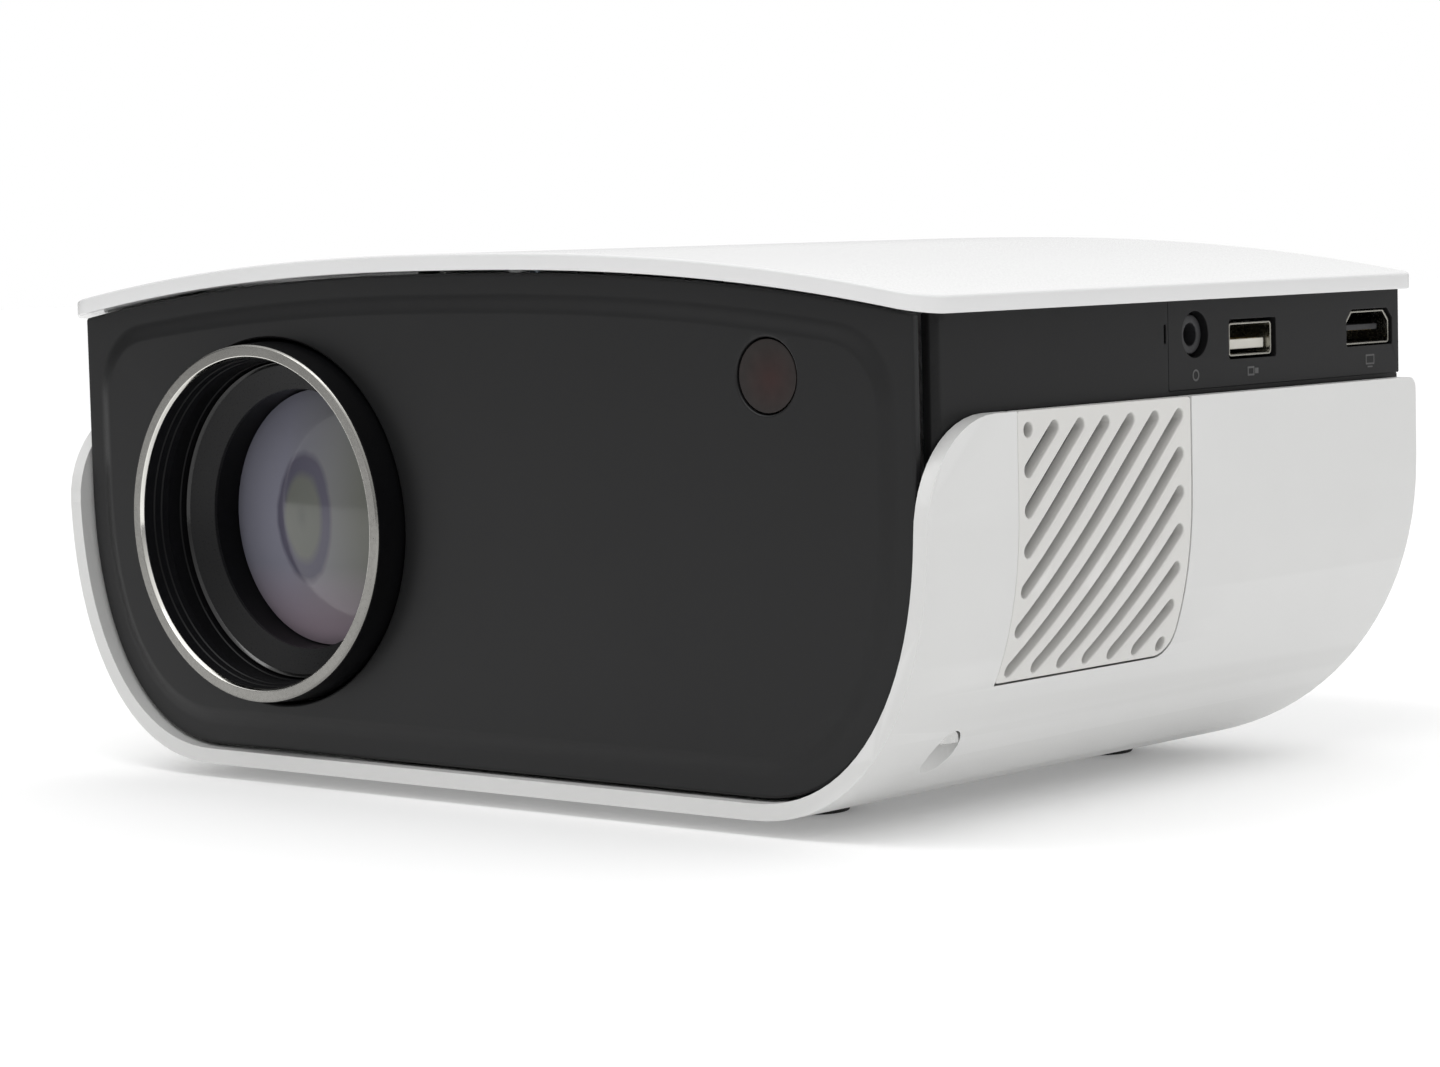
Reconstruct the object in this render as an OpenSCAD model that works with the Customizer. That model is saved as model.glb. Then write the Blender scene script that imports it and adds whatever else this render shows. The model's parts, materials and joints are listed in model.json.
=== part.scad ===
// Home projector: a white cradle shell holds a dark body under an arched white cover.
// X runs across the front, Y from the front to the back and Z up from the table.
// The origin lies on the table, under the middle of the whole object.
// Inside each module, Y is measured from the shell's front rim (see from_front).

/* [Shell] */
// Width across the white shell
body_w = 190; // [186:1:200]
// Depth from the shell's front rim to its rear edge
body_d = 137; // [137:1:142]
// Thickness of the shell's wall
shell_t = 2.6; // [2.2:0.1:3]
// Height of the side walls' top edge above the table
wall_top = 63.5; // [62:0.5:65]
// Width of the big lower corner
corner_rx = 35; // [32:1:38]
// Height of the big lower corner
corner_rz = 48; // [44:1:50]
// Fullness of the big lower corner, 2 being an ellipse
corner_n = 2.25; // [2:0.05:2.5]
// Radius of the side walls' upper front corner
rim_r = 17; // [12:1:20]
// Depth of the rounded heel at the lower rear
heel_d = 26; // [22:1:26]
// Height of the rounded heel at the lower rear
heel_h = 48; // [46:1:50]

// Height of the white rear apron above the table
apron_top = 40; // [38:0.5:41]

/* [Cover] */
// Height of the cover's underside at its side edges
cover_z = 78.5; // [78:0.5:81]
// Rise of the arch in the middle
arch_rise = 7.5; // [6:0.5:10]
// Flatness of the arch, 2 being a parabola
arch_n = 2.35; // [2:0.05:2.6]
// Thickness of the cover
cover_t = 2.7; // [2.4:0.1:3.2]
// Plan radius of the cover's front corners
cover_r = 6; // [4:1:10]

/* [Front panel] */
// Distance of the panel's outer band behind the rim
panel_y = 3; // [2.5:0.5:4]
// Thickness of the panel
panel_t = 2; // [1.6:0.2:2.4]
// Height that the padded middle stands proud of the band
pad_h = 1.8; // [1:0.2:2.2]
// Width of the flat band round the padded middle
band_w = 4; // [3:0.5:5]
// Sideways place of the infrared window
ir_x = 64.3; // [60:0.1:68]
// Height of the infrared window
ir_z = 69.5; // [66:0.1:70]
// Radius of the infrared window
ir_r = 5.6; // [5:0.1:6]

/* [Lens] */
// Sideways place of the lens axis
lens_x = -44; // [-46:0.5:-42]
// Height of the lens axis
lens_z = 44.4; // [43:0.1:46]
// Outer radius of the bright front ring
ring_r = 29.9; // [29:0.1:30.5]
// Inner radius of the bright front ring
ring_ri = 27.6; // [27.3:0.1:27.8]
// Distance that the ring stands out in front of the rim
ring_out = 4; // [3:0.5:5]
// Outer radius of the sliding lens barrel
barrel_r = 23.4; // [23.3:0.1:23.6]
// Travel of the barrel each way from rest
focus_travel = 3; // [1:0.5:3]

/* [Ports] */
// Depth where the port plate starts
plate_y = 66.6; // [66:0.1:67]
// Depth of the audio and video jack
jack_y = 74.2; // [73:0.1:76]
// Height of the audio and video jack
jack_z = 73; // [72.6:0.1:73.4]
// Depth of the USB socket's middle
usb_y = 90.9; // [88:0.1:94]
// Height of the USB socket's middle
usb_z = 71.8; // [71.4:0.1:72.2]
// Depth of the HDMI socket's middle
hdmi_y = 127; // [110:0.1:127]
// Height of the HDMI socket's middle
hdmi_z = 72.3; // [71.8:0.1:72.6]

/* [Grille] */
// Front edge of the side grille
grille_y0 = 22.2; // [22:0.1:24]
// Rear edge of the side grille
grille_y1 = 68.6; // [66:0.1:70]
// Lower edge of the side grille
grille_z0 = 22.2; // [21:0.1:24]
// Rows and columns of slot ends
grille_n = 7; // [5:1:8]
// Width of one slot
slot_w = 2.3; // [1.8:0.1:2.6]

/* [Base] */
// Height of the rubber feet, and so of the shell above the table
foot_h = 2.5; // [2.3:0.1:3]
// Radius of a rubber foot
foot_r = 6.5; // [5:0.5:7]
// Sideways place of the feet
foot_x = 51; // [48:1:54]
// Radius of the tripod thread's bore
tripod_r = 3.175; // [3:0.005:3.3]

/* [Light engine] */
// Depth of the light path's axis, which runs along X
beam_y = 91; // [91:0.5:92]
// Half width of the optics box
box_half = 30; // [30:0.5:31]
// Underside of the optics box
box_z0 = 20; // [19:0.5:22]
// Top of the optics box
box_z1 = 69; // [68:0.5:70]

/* [Cooling] */
// Side of the square fan
fan_w = 50; // [46:1:50]
// Thickness of the fan
fan_t = 10; // [9:1:10]
// Number of fan blades
blade_n = 7; // [5:1:9]
// Number of cooling fins
fin_n = 13; // [10:1:13]

/* [Keys] */
// Sideways place of the ring of keys
keys_x = -50; // [-54:1:-46]
// Depth of the ring of keys
keys_y = 92; // [88:1:96]
// Radius of an arrow key
key_r = 4.4; // [4:0.1:5]
// Distance of the arrow keys from the middle key
key_ring = 14; // [13:0.5:16]
// Downward travel of a key
key_travel = 0.8; // [0.5:0.1:1]

/* [Hidden] */
$fn = 64;

half_w = body_w / 2;
base_z = foot_h;
floor_z = base_z + shell_t;
front_y = -(body_d - ring_out) / 2;
gap = 0.3;
corner_steps = 24;
arch_steps = 20;

// Dark body inside the shell
side_t = 2.4;
side_y0 = 6.2;
rear_y = body_d - 0.6;
rear_t = 2;
side_top = cover_z + 0.2;

// Screws and posts
post_r = 4;
front_post = [83, 17.5];
rear_post = [46, 127];
rear_lift = 9;
feet_y = [26, 104];
screw_head_r = 2.8;
screw_r = 1.5;
sink_r = 3.1;
post_z = 28;

// Lens parts, measured along the axis from the rim
panel_hole_r = 30.8;
throat_r = 27;
sleeve_r = 26.1;
mount_r = 25.8;
glass_r = 21.8;
baffle_y = 5.5;
barrel_y1 = 53;
mount_y0 = 16;
box_y0 = beam_y - box_half;
mount_y1 = box_y0;

// Screw tabs of the optics box
engine_tabs = [for (x = [-68.5, 35], y = [box_y0 + 5.5, box_y0 + 2 * box_half - 5.5]) [x, y]];

// Power inlet, fan, speaker, heat pipes, tripod insert
inlet_x = 66;
inlet_z = 53;
fan_x = 67.5;
fan_y = 46.5;
fan_z = 41.5;
speaker_y = 46;
pipe_x = 45;
pipe_z = [34.4, 54.4];
fin_y0 = 25;
fin_pitch = 2.8;
tripod_y = 72;

// Boards
board_posts = [[46, 72], [46, 116], [84, 81], [84, 108]];
board_z = 66.6;
jack_bore_r = 1.8;
board_t = 1.6;
keyboard_z = 77;

// ---------- shared outlines and helpers ----------

// Moves a part measured from the front rim into the object's own frame
module from_front() {
    translate([0, front_y, 0]) children();
}

// Extrudes an X-Z outline from y0 to y1
module along_y(y0, y1) {
    translate([0, y1, 0]) rotate([90, 0, 0]) linear_extrude(y1 - y0) children();
}

// Extrudes a Y-Z outline from x0 to x1
module along_x(x0, x1) {
    translate([x0, 0, 0]) rotate([90, 0, 90]) linear_extrude(x1 - x0) children();
}

// A block given by its lowest and highest corners
module block(low, high) {
    translate(low) cube(high - low);
}

// Turns a [radius, depth] profile round the lens axis
module lens_turn(profile) {
    translate([lens_x, 0, lens_z]) rotate([-90, 0, 0]) rotate_extrude() polygon(profile);
}

function corner_x(a, inset) =
    half_w - corner_rx + (corner_rx - inset) * pow(cos(a), 2 / corner_n);
function corner_z(a, inset) =
    base_z + corner_rz - (corner_rz - inset) * pow(sin(a), 2 / corner_n);
// Big lower corner on the right, from the wall down to the floor
function corner(inset) =
    [for (i = [0 : corner_steps]) let (a = 90 * i / corner_steps)
        [corner_x(a, inset), corner_z(a, inset)]];
function reversed(list) = [for (i = [len(list) - 1 : -1 : 0]) list[i]];
function mirrored(list) = [for (p = list) [-p[0], p[1]]];
// Cross-section of the cradle, inset from its outer face
function cradle(inset, top) = concat(
    [[half_w - inset, top]], corner(inset),
    reversed(mirrored(corner(inset))), [[inset - half_w, top]]);
function arch_z(x) = cover_z + arch_rise * (1 - pow(abs(x) / half_w, arch_n));
// Arch from left to right, lifted from the cover's underside
function arch(half, lift) =
    [for (i = [-arch_steps : arch_steps]) let (x = half * i / arch_steps) [x, arch_z(x) + lift]];
// Whole section of the dark body, inset from the shell and the cover
function body_section(inset, drop) = concat(
    corner(inset), reversed(mirrored(corner(inset))), arch(half_w - inset, -drop));
function arc(cy, cz, ry, rz, a0, a1, n) =
    [for (i = [0 : n]) let (a = a0 + (a1 - a0) * i / n) [cy + ry * cos(a), cz + rz * sin(a)]];
// Side view of the shell, with its rounded rim corner and heel
function side_profile() = concat(
    [[0, base_z - 1]],
    arc(rim_r, wall_top - rim_r, rim_r, rim_r, 180, 90, 12),
    arc(body_d - 2, wall_top - 2, 2, 2, 90, 0, 4),
    arc(body_d - heel_d, base_z + heel_h, heel_d, heel_h, 0, -90, 14));
// Side view of the room inside the shell, open above the rear apron
function room_profile() = concat(
    [[-1, base_z], [-1, wall_top + 2], [body_d + 1, wall_top + 2], [body_d + 1, apron_top]],
    arc(body_d - heel_d, base_z + heel_h, heel_d - shell_t, heel_h - shell_t,
        asin((apron_top - base_z - heel_h) / (heel_h - shell_t)), -90, 14));
// Window for a side grille, with one rounded lower rear corner
function window(inset) = concat(
    [[grille_y0 + inset, grille_z0 + inset], [grille_y0 + inset, wall_top + 1],
     [grille_y1 - inset, wall_top + 1]],
    arc(grille_y1 - inset - 4, grille_z0 + inset + 4, 4, 4, 0, -90, 6));
// Lens surface as [radius, depth] points from the middle to the edge, bulging by sag
function lens_face(r, y, sag) =
    [for (i = [0 : 8]) let (t = i / 8) [r * t, y - sag * (1 - t * t)]];
function lens_profile(r, y0, y1, sag0, sag1) =
    concat(lens_face(r, y0, sag0), reversed(lens_face(r, y1, -sag1)));

// ---------- shell and feet ----------

module shell_holes() {
    for (s = [-1, 1]) {
        // Counterbored screw holes
        translate([s * front_post[0], front_post[1], base_z - 1]) cylinder(r = sink_r, h = 15);
        translate([s * front_post[0], front_post[1], base_z]) cylinder(r = 1.7, h = 40);
        translate([s * rear_post[0], rear_post[1], base_z - 1]) cylinder(r = sink_r, h = 15 + rear_lift);
        translate([s * rear_post[0], rear_post[1], base_z]) cylinder(r = 1.7, h = 40);
        // Grille windows
        scale([s, 1, 1]) along_x(72, half_w + 1) polygon(window(0));
    }
    // Thread for the tilting foot, and the tripod insert's seat
    translate([0, 27, base_z - 1]) cylinder(r = 3.25, h = 20);
    translate([0, tripod_y, base_z - 1]) cylinder(r = 5, h = 10);
    // Air slots in the floor
    for (i = [-3 : 3]) block([6 * i - 1, 86, base_z - 1], [6 * i + 1, 106, floor_z + 1]);
    // Pilot holes for the screws that hold the optics box
    for (t = engine_tabs) translate([t[0], t[1], box_z0 - 7]) cylinder(r = screw_r + 0.05, h = 8);
    // Seats for the rubber feet
    for (x = [-foot_x, foot_x], y = feet_y)
        translate([x, y, base_z - 1]) cylinder(r = foot_r, h = 1.6);
}

module shell_bosses() {
    for (s = [-1, 1]) {
        translate([s * front_post[0], front_post[1], base_z]) cylinder(r = 4.7, h = post_z - base_z);
        translate([s * rear_post[0], rear_post[1], base_z]) cylinder(r = 4.7, h = post_z - base_z);
    }
    translate([0, 27, base_z]) cylinder(r = 6, h = 15);
    translate([0, tripod_y, base_z]) cylinder(r = 8, h = 10.5);
    // Pillars under the optics box
    for (t = engine_tabs)
        translate([t[0], t[1], floor_z - 0.5]) cylinder(r = 3.6, h = box_z0 - floor_z + 0.5);
    // Ribs that carry the fan and the speaker
    for (y = [fan_y - 20, fan_y + 17])
        block([fan_x - 1, y, base_z], [fan_x + fan_t + 1, y + 3, fan_z - fan_w / 2]);
    block([-88, speaker_y - 2, base_z], [-78, speaker_y + 2, lens_z - 15.5]);
    // Pillars under the power board
    for (x = [-5, 31], y = [37, 56])
        translate([x, y, floor_z - 0.5]) cylinder(r = 2.6, h = 4.9);
}

module lower_shell() color("whitesmoke") from_front() {
    difference() {
        union() {
            difference() {
                intersection() {
                    along_y(0, body_d) polygon(cradle(0, wall_top));
                    along_x(-half_w - 1, half_w + 1) polygon(side_profile());
                }
                intersection() {
                    along_y(-1, body_d + 1) polygon(cradle(shell_t, wall_top + 1));
                    along_x(-half_w, half_w) polygon(room_profile());
                }
            }
            intersection() {
                shell_bosses();
                along_y(1, body_d) polygon(cradle(1, wall_top));
                along_x(-half_w, half_w) polygon(side_profile());
            }
        }
        shell_holes();
    }
}

// A grille insert follows the shell's own section and is pierced by diagonal slots
module grille(s) {
    step_y = (grille_y1 - grille_y0 - 6.4) / (grille_n - 1);
    step_z = (wall_top - grille_z0 - 5.1) / (grille_n - 1);
    first_y = grille_y0 + 3;
    first_z = wall_top - 2.9;
    last = grille_n - 1;
    scale([s, 1, 1]) difference() {
        intersection() {
            difference() {
                along_y(grille_y0, grille_y1) polygon(cradle(0, wall_top));
                along_y(0, body_d) polygon(cradle(2.4, wall_top + 1));
            }
            along_x(72, half_w + 1) polygon(window(0.2));
        }
        along_x(70, half_w + 2) for (k = [0 : 2 * last]) {
            a = [max(0, k - last), min(k, last)];
            b = [min(k, last), max(0, k - last)];
            p = [first_y + a[0] * step_y, first_z - a[1] * step_z];
            q = [first_y + b[0] * step_y, first_z - b[1] * step_z];
            translate(p) circle(d = slot_w);
            translate(q) circle(d = slot_w);
            translate(p) rotate(atan2(q[1] - p[1], q[0] - p[0]))
                translate([0, -slot_w / 2]) square([norm(q - p) + 0.001, slot_w]);
        }
    }
}

module right_grille() color("gainsboro") from_front() grille(1);

module left_grille() color("gainsboro") from_front() grille(-1);

module case_screw(p, lift) {
    translate([p[0], p[1], base_z + 11.4 + lift]) cylinder(r = screw_head_r, h = 2.4);
    translate([p[0], p[1], base_z + 13 + lift]) cylinder(r = screw_r, h = 24);
}

module case_screws() color("silver") from_front() {
    for (s = [-1, 1]) {
        case_screw([s * front_post[0], front_post[1]], 0);
        case_screw([s * rear_post[0], rear_post[1]], rear_lift);
    }
}

module rubber_feet() color("black") from_front() {
    for (x = [-foot_x, foot_x], y = feet_y)
        translate([x, y, 0]) {
            cylinder(r1 = foot_r - 0.7, r2 = foot_r - 0.2, h = 1);
            translate([0, 0, 1]) cylinder(r = foot_r - 0.2, h = base_z - 0.4);
        }
}

// Screw foot under the front edge, shown wound in
module tilt_foot() color("dimgray") from_front() {
    translate([0, 27, 0.4]) difference() {
        cylinder(r = 9, h = 1.7);
        for (a = [0 : 20 : 340]) rotate(a) translate([9.4, 0, -1]) cylinder(r = 0.9, h = 4);
    }
    translate([0, 27, 2]) cylinder(r = 3, h = 16);
}

module tripod_insert() color("goldenrod") from_front() {
    translate([0, tripod_y, base_z]) difference() {
        cylinder(r = 5, h = 9);
        translate([0, 0, -1]) cylinder(r = tripod_r, h = 9.4);
    }
}

// ---------- dark body panels ----------

module front_panel() color("#303032") from_front() {
    // Steps of the padded middle: extra inset, and share of its full height
    steps = [[0, 0.45], [0.8, 0.8], [1.8, 1]];
    difference() {
        union() {
            along_y(panel_y, panel_y + panel_t) polygon(body_section(shell_t + gap, gap));
            for (s = steps)
                along_y(panel_y - pad_h * s[1], panel_y + 0.5)
                    polygon(body_section(shell_t + gap + band_w + s[0], gap + band_w + s[0]));
            // Collar behind the lens opening
            lens_turn([[panel_hole_r, panel_y], [panel_hole_r + 2, panel_y],
                       [panel_hole_r + 2, panel_y + 5], [panel_hole_r, panel_y + 5]]);
        }
        translate([lens_x, -5, lens_z]) rotate([-90, 0, 0]) cylinder(r = panel_hole_r, h = 20);
        translate([ir_x, -5, ir_z]) rotate([-90, 0, 0]) cylinder(r = ir_r + 0.25, h = 20);
    }
}

module rear_panel() color("#2b2b2d") from_front() {
    difference() {
        intersection() {
            along_y(rear_y - rear_t, rear_y) polygon(body_section(shell_t + side_t + 2 * gap, gap));
            block([-half_w, 0, apron_top + gap], [half_w, body_d, 100]);
        }
        // Air slots
        for (i = [0 : 13])
            block([7.5 * i - 75.4, rear_y - 5, 44], [7.5 * i - 72.6, rear_y + 5, 70]);
        // Power inlet
        block([inlet_x - 10.2, rear_y - 5, inlet_z - 6.7], [inlet_x + 10.2, rear_y + 5, inlet_z + 6.7]);
    }
}

// Side wall of the dark body from y0 to y1 and from z0 to z1
module side_wall(y0, y1, z0, z1, inset) {
    intersection() {
        difference() {
            along_y(y0, y1) polygon(cradle(shell_t + gap + inset, z1));
            along_y(0, body_d) polygon(cradle(shell_t + gap + side_t, z1 + 1));
        }
        block([0, 0, z0], [half_w, body_d, z1]);
    }
}

module right_side_panel() color("#2f2f31") from_front() {
    difference() {
        union() {
            side_wall(side_y0, plate_y - gap, 41, side_top, 0);
            side_wall(side_y0, rear_y, 41, wall_top + 0.4, 0.4);
        }
        // Narrow latch slot beside the port plate
        block([80, plate_y - 1.4, 71.8], [100, plate_y - 0.4, 74.9]);
    }
}

module left_side_panel() color("#2f2f31") from_front() {
    mirror([1, 0, 0]) side_wall(side_y0, rear_y, 41, side_top, 0);
}

module hdmi_outline(w, h) {
    cut = 1.7;
    polygon([[-w / 2, -h / 2], [w / 2, -h / 2], [w / 2, h / 2 - cut], [w / 2 - cut, h / 2],
             [cut - w / 2, h / 2], [-w / 2, h / 2 - cut]]);
}

module port_plate() color("#2d2d2f") from_front() {
    difference() {
        side_wall(plate_y, rear_y, wall_top + 0.8, side_top, 0);
        translate([80, jack_y, jack_z]) rotate([0, 90, 0]) cylinder(r = 3.7, h = 20);
        block([80, usb_y - 6.9, usb_z - 3.2], [100, usb_y + 6.9, usb_z + 3.2]);
        along_x(80, 100) translate([hdmi_y, hdmi_z]) hdmi_outline(14.6, 6.2);
    }
}

// ---------- cover and keys ----------

module cover_plan() {
    translate([-half_w, 0, 0]) linear_extrude(120) polygon(concat(
        arc(cover_r, cover_r, cover_r, cover_r, 180, 270, 8),
        arc(body_w - cover_r, cover_r, cover_r, cover_r, 270, 360, 8),
        arc(body_w - 2.5, body_d - 2.5, 2.5, 2.5, 0, 90, 5),
        arc(2.5, body_d - 2.5, 2.5, 2.5, 90, 180, 5)));
}

KEY_SPOTS = [[0, 0], [0, key_ring], [0, -key_ring], [-key_ring, 0], [key_ring, 0]];
power_spot = [keys_x, keys_y - 34];
led_spot = [keys_x + 14, keys_y - 34];

module top_cover() color("white") from_front() {
    difference() {
        union() {
            intersection() {
                along_y(0, body_d) polygon(concat(arch(half_w, 0), reversed(arch(half_w, cover_t))));
                cover_plan();
            }
            intersection() {
                union() {
                    for (s = [-1, 1], p = [front_post, rear_post])
                        translate([s * p[0], p[1], post_z + gap]) cylinder(r = post_r, h = 60);
                    for (dx = [-20, 20], dy = [-26, 22])
                        translate([keys_x + dx, keys_y + dy, keyboard_z + board_t])
                            cylinder(r = 2.2, h = 12);
                    for (p = board_posts)
                        translate([p[0], p[1], board_z + board_t]) cylinder(r = 2.4, h = 20);
                }
                along_y(0, body_d) polygon(concat(
                    [[-half_w, 0], [half_w, 0]], reversed(arch(half_w, 1))));
            }
        }
        for (s = [-1, 1], p = [front_post, rear_post])
            translate([s * p[0], p[1], post_z - 1]) cylinder(r = screw_r + 0.05, h = 14 + rear_lift);
        for (k = KEY_SPOTS)
            translate([keys_x + k[0], keys_y + k[1], 75]) cylinder(r = key_r + 0.3, h = 20);
        translate([power_spot[0], power_spot[1], 75]) cylinder(r = key_r + 1.5, h = 20);
        translate([led_spot[0], led_spot[1], 75]) cylinder(r = 1.1, h = 20);
    }
}

// A key: a stem, a hidden flange that stops it, and a cap that follows the arch
module key(spot, r) {
    under = arch_z(spot[0]) - 1.1;
    translate([spot[0], spot[1], under - 1.2]) cylinder(r = r + 1.1, h = 1.2);
    translate([spot[0], spot[1], keyboard_z + board_t + key_travel + 0.1])
        cylinder(r = 1.6, h = under - keyboard_z - board_t - key_travel - 0.7);
    intersection() {
        translate([spot[0], spot[1], under - 0.5]) cylinder(r = r, h = 10);
        along_y(0, body_d) polygon(concat(
            [[-half_w, 0], [half_w, 0]], reversed(arch(half_w, cover_t + 0.1))));
    }
}

module key_at(i) {
    key([keys_x + KEY_SPOTS[i][0], keys_y + KEY_SPOTS[i][1]], key_r);
}

module power_button() color("whitesmoke") from_front() key(power_spot, key_r + 1.2);

module key_ok() color("whitesmoke") from_front() key_at(0);

module key_up() color("whitesmoke") from_front() key_at(1);

module key_down() color("whitesmoke") from_front() key_at(2);

module key_left() color("whitesmoke") from_front() key_at(3);

module key_right() color("whitesmoke") from_front() key_at(4);

module key_board() color("darkgreen") from_front() {
    difference() {
        block([keys_x - 23, keys_y - 40, keyboard_z], [keys_x + 23, keys_y + 25, keyboard_z + board_t]);
        translate([led_spot[0], led_spot[1], keyboard_z - 1]) cylinder(r = 1.5, h = 4);
    }
}

module status_led() color("lightblue") from_front() {
    translate([led_spot[0], led_spot[1], keyboard_z - 0.5])
        cylinder(r = 1, h = arch_z(led_spot[0]) + cover_t - keyboard_z + 0.4);
}

// ---------- front window ----------

module ir_window() color("#5a2622") from_front() {
    translate([ir_x, panel_y - pad_h + 0.3, ir_z]) rotate([-90, 0, 0]) {
        cylinder(r = ir_r, h = 3.2);
        translate([0, 0, 3.5]) cylinder(r = ir_r + 1.2, h = 1);
        cylinder(r = ir_r - 1, h = 4);
    }
}

module ir_receiver() color("#202022") from_front() {
    block([ir_x - 3.2, 8, ir_z - 3.6], [ir_x + 3.2, 12, ir_z + 3.6]);
    translate([ir_x, 8.1, ir_z]) rotate([90, 0, 0]) cylinder(r = 2.4, h = 1.6);
}

// ---------- lens ----------

module chrome_bezel() color("silver") from_front() {
    lens_turn([[ring_ri, -ring_out + 0.5], [ring_ri + 0.5, -ring_out], [ring_r - 0.9, -ring_out],
               [ring_r, -ring_out + 0.9], [ring_r, -ring_out + 2.2], [ring_ri, -ring_out + 2.2]]);
}

// Turning ring: visible barrel in front, sleeve over the lens mount behind
module focus_ring() color("#141415") from_front() {
    back = -ring_out + 2.2;
    lens_turn([[ring_ri - 0.2, back], [ring_r - 0.2, back], [panel_hole_r - 0.5, 1],
               [panel_hole_r - 0.5, 12], [sleeve_r + 2.2, 14.5], [sleeve_r + 2.2, 40], [sleeve_r, 40],
               [sleeve_r, 15.6], [throat_r, 14.4], [throat_r, 5.5]]);
}

// The three cam pins' places round the barrel
module at_pins() {
    for (a = [90, 210, 330])
        translate([lens_x, 30, lens_z]) rotate([0, a, 0]) translate([0, 0, barrel_r - 1.6])
            cylinder(r = 1.4, h = 3.6);
}

module lens_barrel() color("#1a1a1c") from_front() {
    difference() {
        lens_turn([[22, 8.2], [24.6, 8.2], [24.6, 10.2], [barrel_r, 10.8], [barrel_r, barrel_y1],
                   [20.6, barrel_y1], [20.6, 46.8], [17.6, 46.8], [17.6, 31.4], [17.2, 31.4],
                   [17.2, 26.4], [20, 22.4], [20, 18.6], [22, 18.6]]);
        at_pins();
    }
}

// Shallow grey cone that masks the barrel's front edge
module lens_baffle() color("#58585a") from_front() {
    lens_turn([[22, 7.6], [26.6, baffle_y], [26.6, 6.8], [24.9, 8], [22, 8.2]]);
}

module cam_pins() color("goldenrod") from_front() at_pins();

module front_lens() color("lightsteelblue") from_front() {
    lens_turn(lens_profile(glass_r, 13, 18.4, 4.4, -0.6));
}

module middle_lens() color("lightsteelblue") from_front()
    lens_turn(lens_profile(17.1, 26.6, 31.2, -1.4, -1.4));

module rear_lens() color("lightsteelblue") from_front()
    lens_turn(lens_profile(20.4, 47.6, 52, 2.4, 2.2));

module lens_mount() color("#1d1d1f") from_front() {
    difference() {
        union() {
            lens_turn([[barrel_r + 0.1, mount_y0], [mount_r, mount_y0], [mount_r, mount_y1 - 0.5],
                       [barrel_r + 0.1, mount_y1 - 0.5]]);
            difference() {
                block([lens_x - 29, mount_y1 - 3, box_z0 + 1], [lens_x + 29, mount_y1, box_z1 - 1]);
                translate([lens_x, mount_y1 - 4, lens_z]) rotate([-90, 0, 0])
                    cylinder(r = barrel_r + 0.1, h = 6);
            }
        }
        // Straight guide slots for the cam pins
        for (a = [90, 210, 330])
            translate([lens_x, 30, lens_z]) rotate([0, a, 0])
                translate([-1.6, -focus_travel - 1.8, barrel_r - 2])
                    cube([3.2, 2 * focus_travel + 3.6, 6]);
    }
}

// ---------- light engine ----------

module optics_box() color("#222224") from_front() {
    difference() {
        union() {
            difference() {
                block([-74, box_y0, box_z0], [40, box_y0 + 2 * box_half, box_z1 - 2]);
                block([-72, box_y0 + 2, box_z0 + 2], [38, box_y0 + 2 * box_half - 2, box_z1]);
            }
            for (t = engine_tabs) translate([t[0], t[1], box_z0]) cylinder(r = 3.6, h = 4);
            // Holder of the condenser lens
            block([27.8, box_y0 + 1, box_z0 + 1], [31.6, box_y0 + 2 * box_half - 1, box_z1 - 2.4]);
            // Rails that hold the flat optics
            for (x = [-12.2, -4.2, 5.6, 13.6])
                for (y = [box_y0 + 2, box_y0 + 2 * box_half - 3.2])
                    block([x, y, box_z0 + 1], [x + 1.4, y + 1.2, box_z1 - 3]);
        }
        translate([lens_x, box_y0 - 5, lens_z]) rotate([-90, 0, 0]) cylinder(r = 22, h = 10);
        translate([20, beam_y, lens_z]) rotate([0, 90, 0]) cylinder(r = 17.6, h = 15);
        translate([20, beam_y, lens_z]) rotate([0, 90, 0]) cylinder(r = 19.1, h = 11.1);
        block([36, beam_y - 11.3, lens_z - 11.3], [42, beam_y + 11.3, lens_z + 11.3]);
        for (t = engine_tabs) translate([t[0], t[1], box_z0 - 1]) cylinder(r = 1.6, h = 8);
    }
}

module optics_lid() color("#262628") from_front() {
    difference() {
        union() {
            block([-74, box_y0, box_z1 - 2], [40, box_y0 + 2 * box_half, box_z1]);
            for (i = [0 : 5])
                block([16 * i - 60, box_y0 + 6, box_z1 - 0.2], [16 * i - 58, box_y0 + 54, box_z1 + 1.2]);
        }
        block([0.2, beam_y - 13, box_z1 - 3], [1.4, beam_y + 5, box_z1 + 1]);
    }
}

module engine_screws() color("silver") from_front() {
    for (t = engine_tabs) {
        translate([t[0], t[1], box_z0 + 4]) cylinder(r = 2.7, h = 1.8);
        translate([t[0], t[1], box_z0 - 6]) cylinder(r = 1.5, h = 11);
    }
}

module fold_mirror() color("lightgray") from_front() {
    translate([lens_x, beam_y, lens_z]) rotate([0, 0, 45]) block([-30, 0, -21], [30, 1.8, 21]);
}

// A flat optical sheet across the light path at x
module sheet(x, t) {
    block([x, beam_y - 27.8, box_z0 + 2.2], [x + t, beam_y + 27.8, box_z1 - 2.4]);
}

module field_lens() color("lightblue") from_front() sheet(-10.6, 1.6);

module lcd_panel() color("#3a3a48") from_front() {
    difference() {
        sheet(-2.6, 3);
        block([-3, beam_y - 23, lens_z - 17], [-2, beam_y + 23, lens_z + 17]);
    }
}

module polarizer() color("#6f7a70") from_front() sheet(7.2, 1.2);

module collimator_lens() color("lightblue") from_front() sheet(15.2, 1.6);

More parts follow.
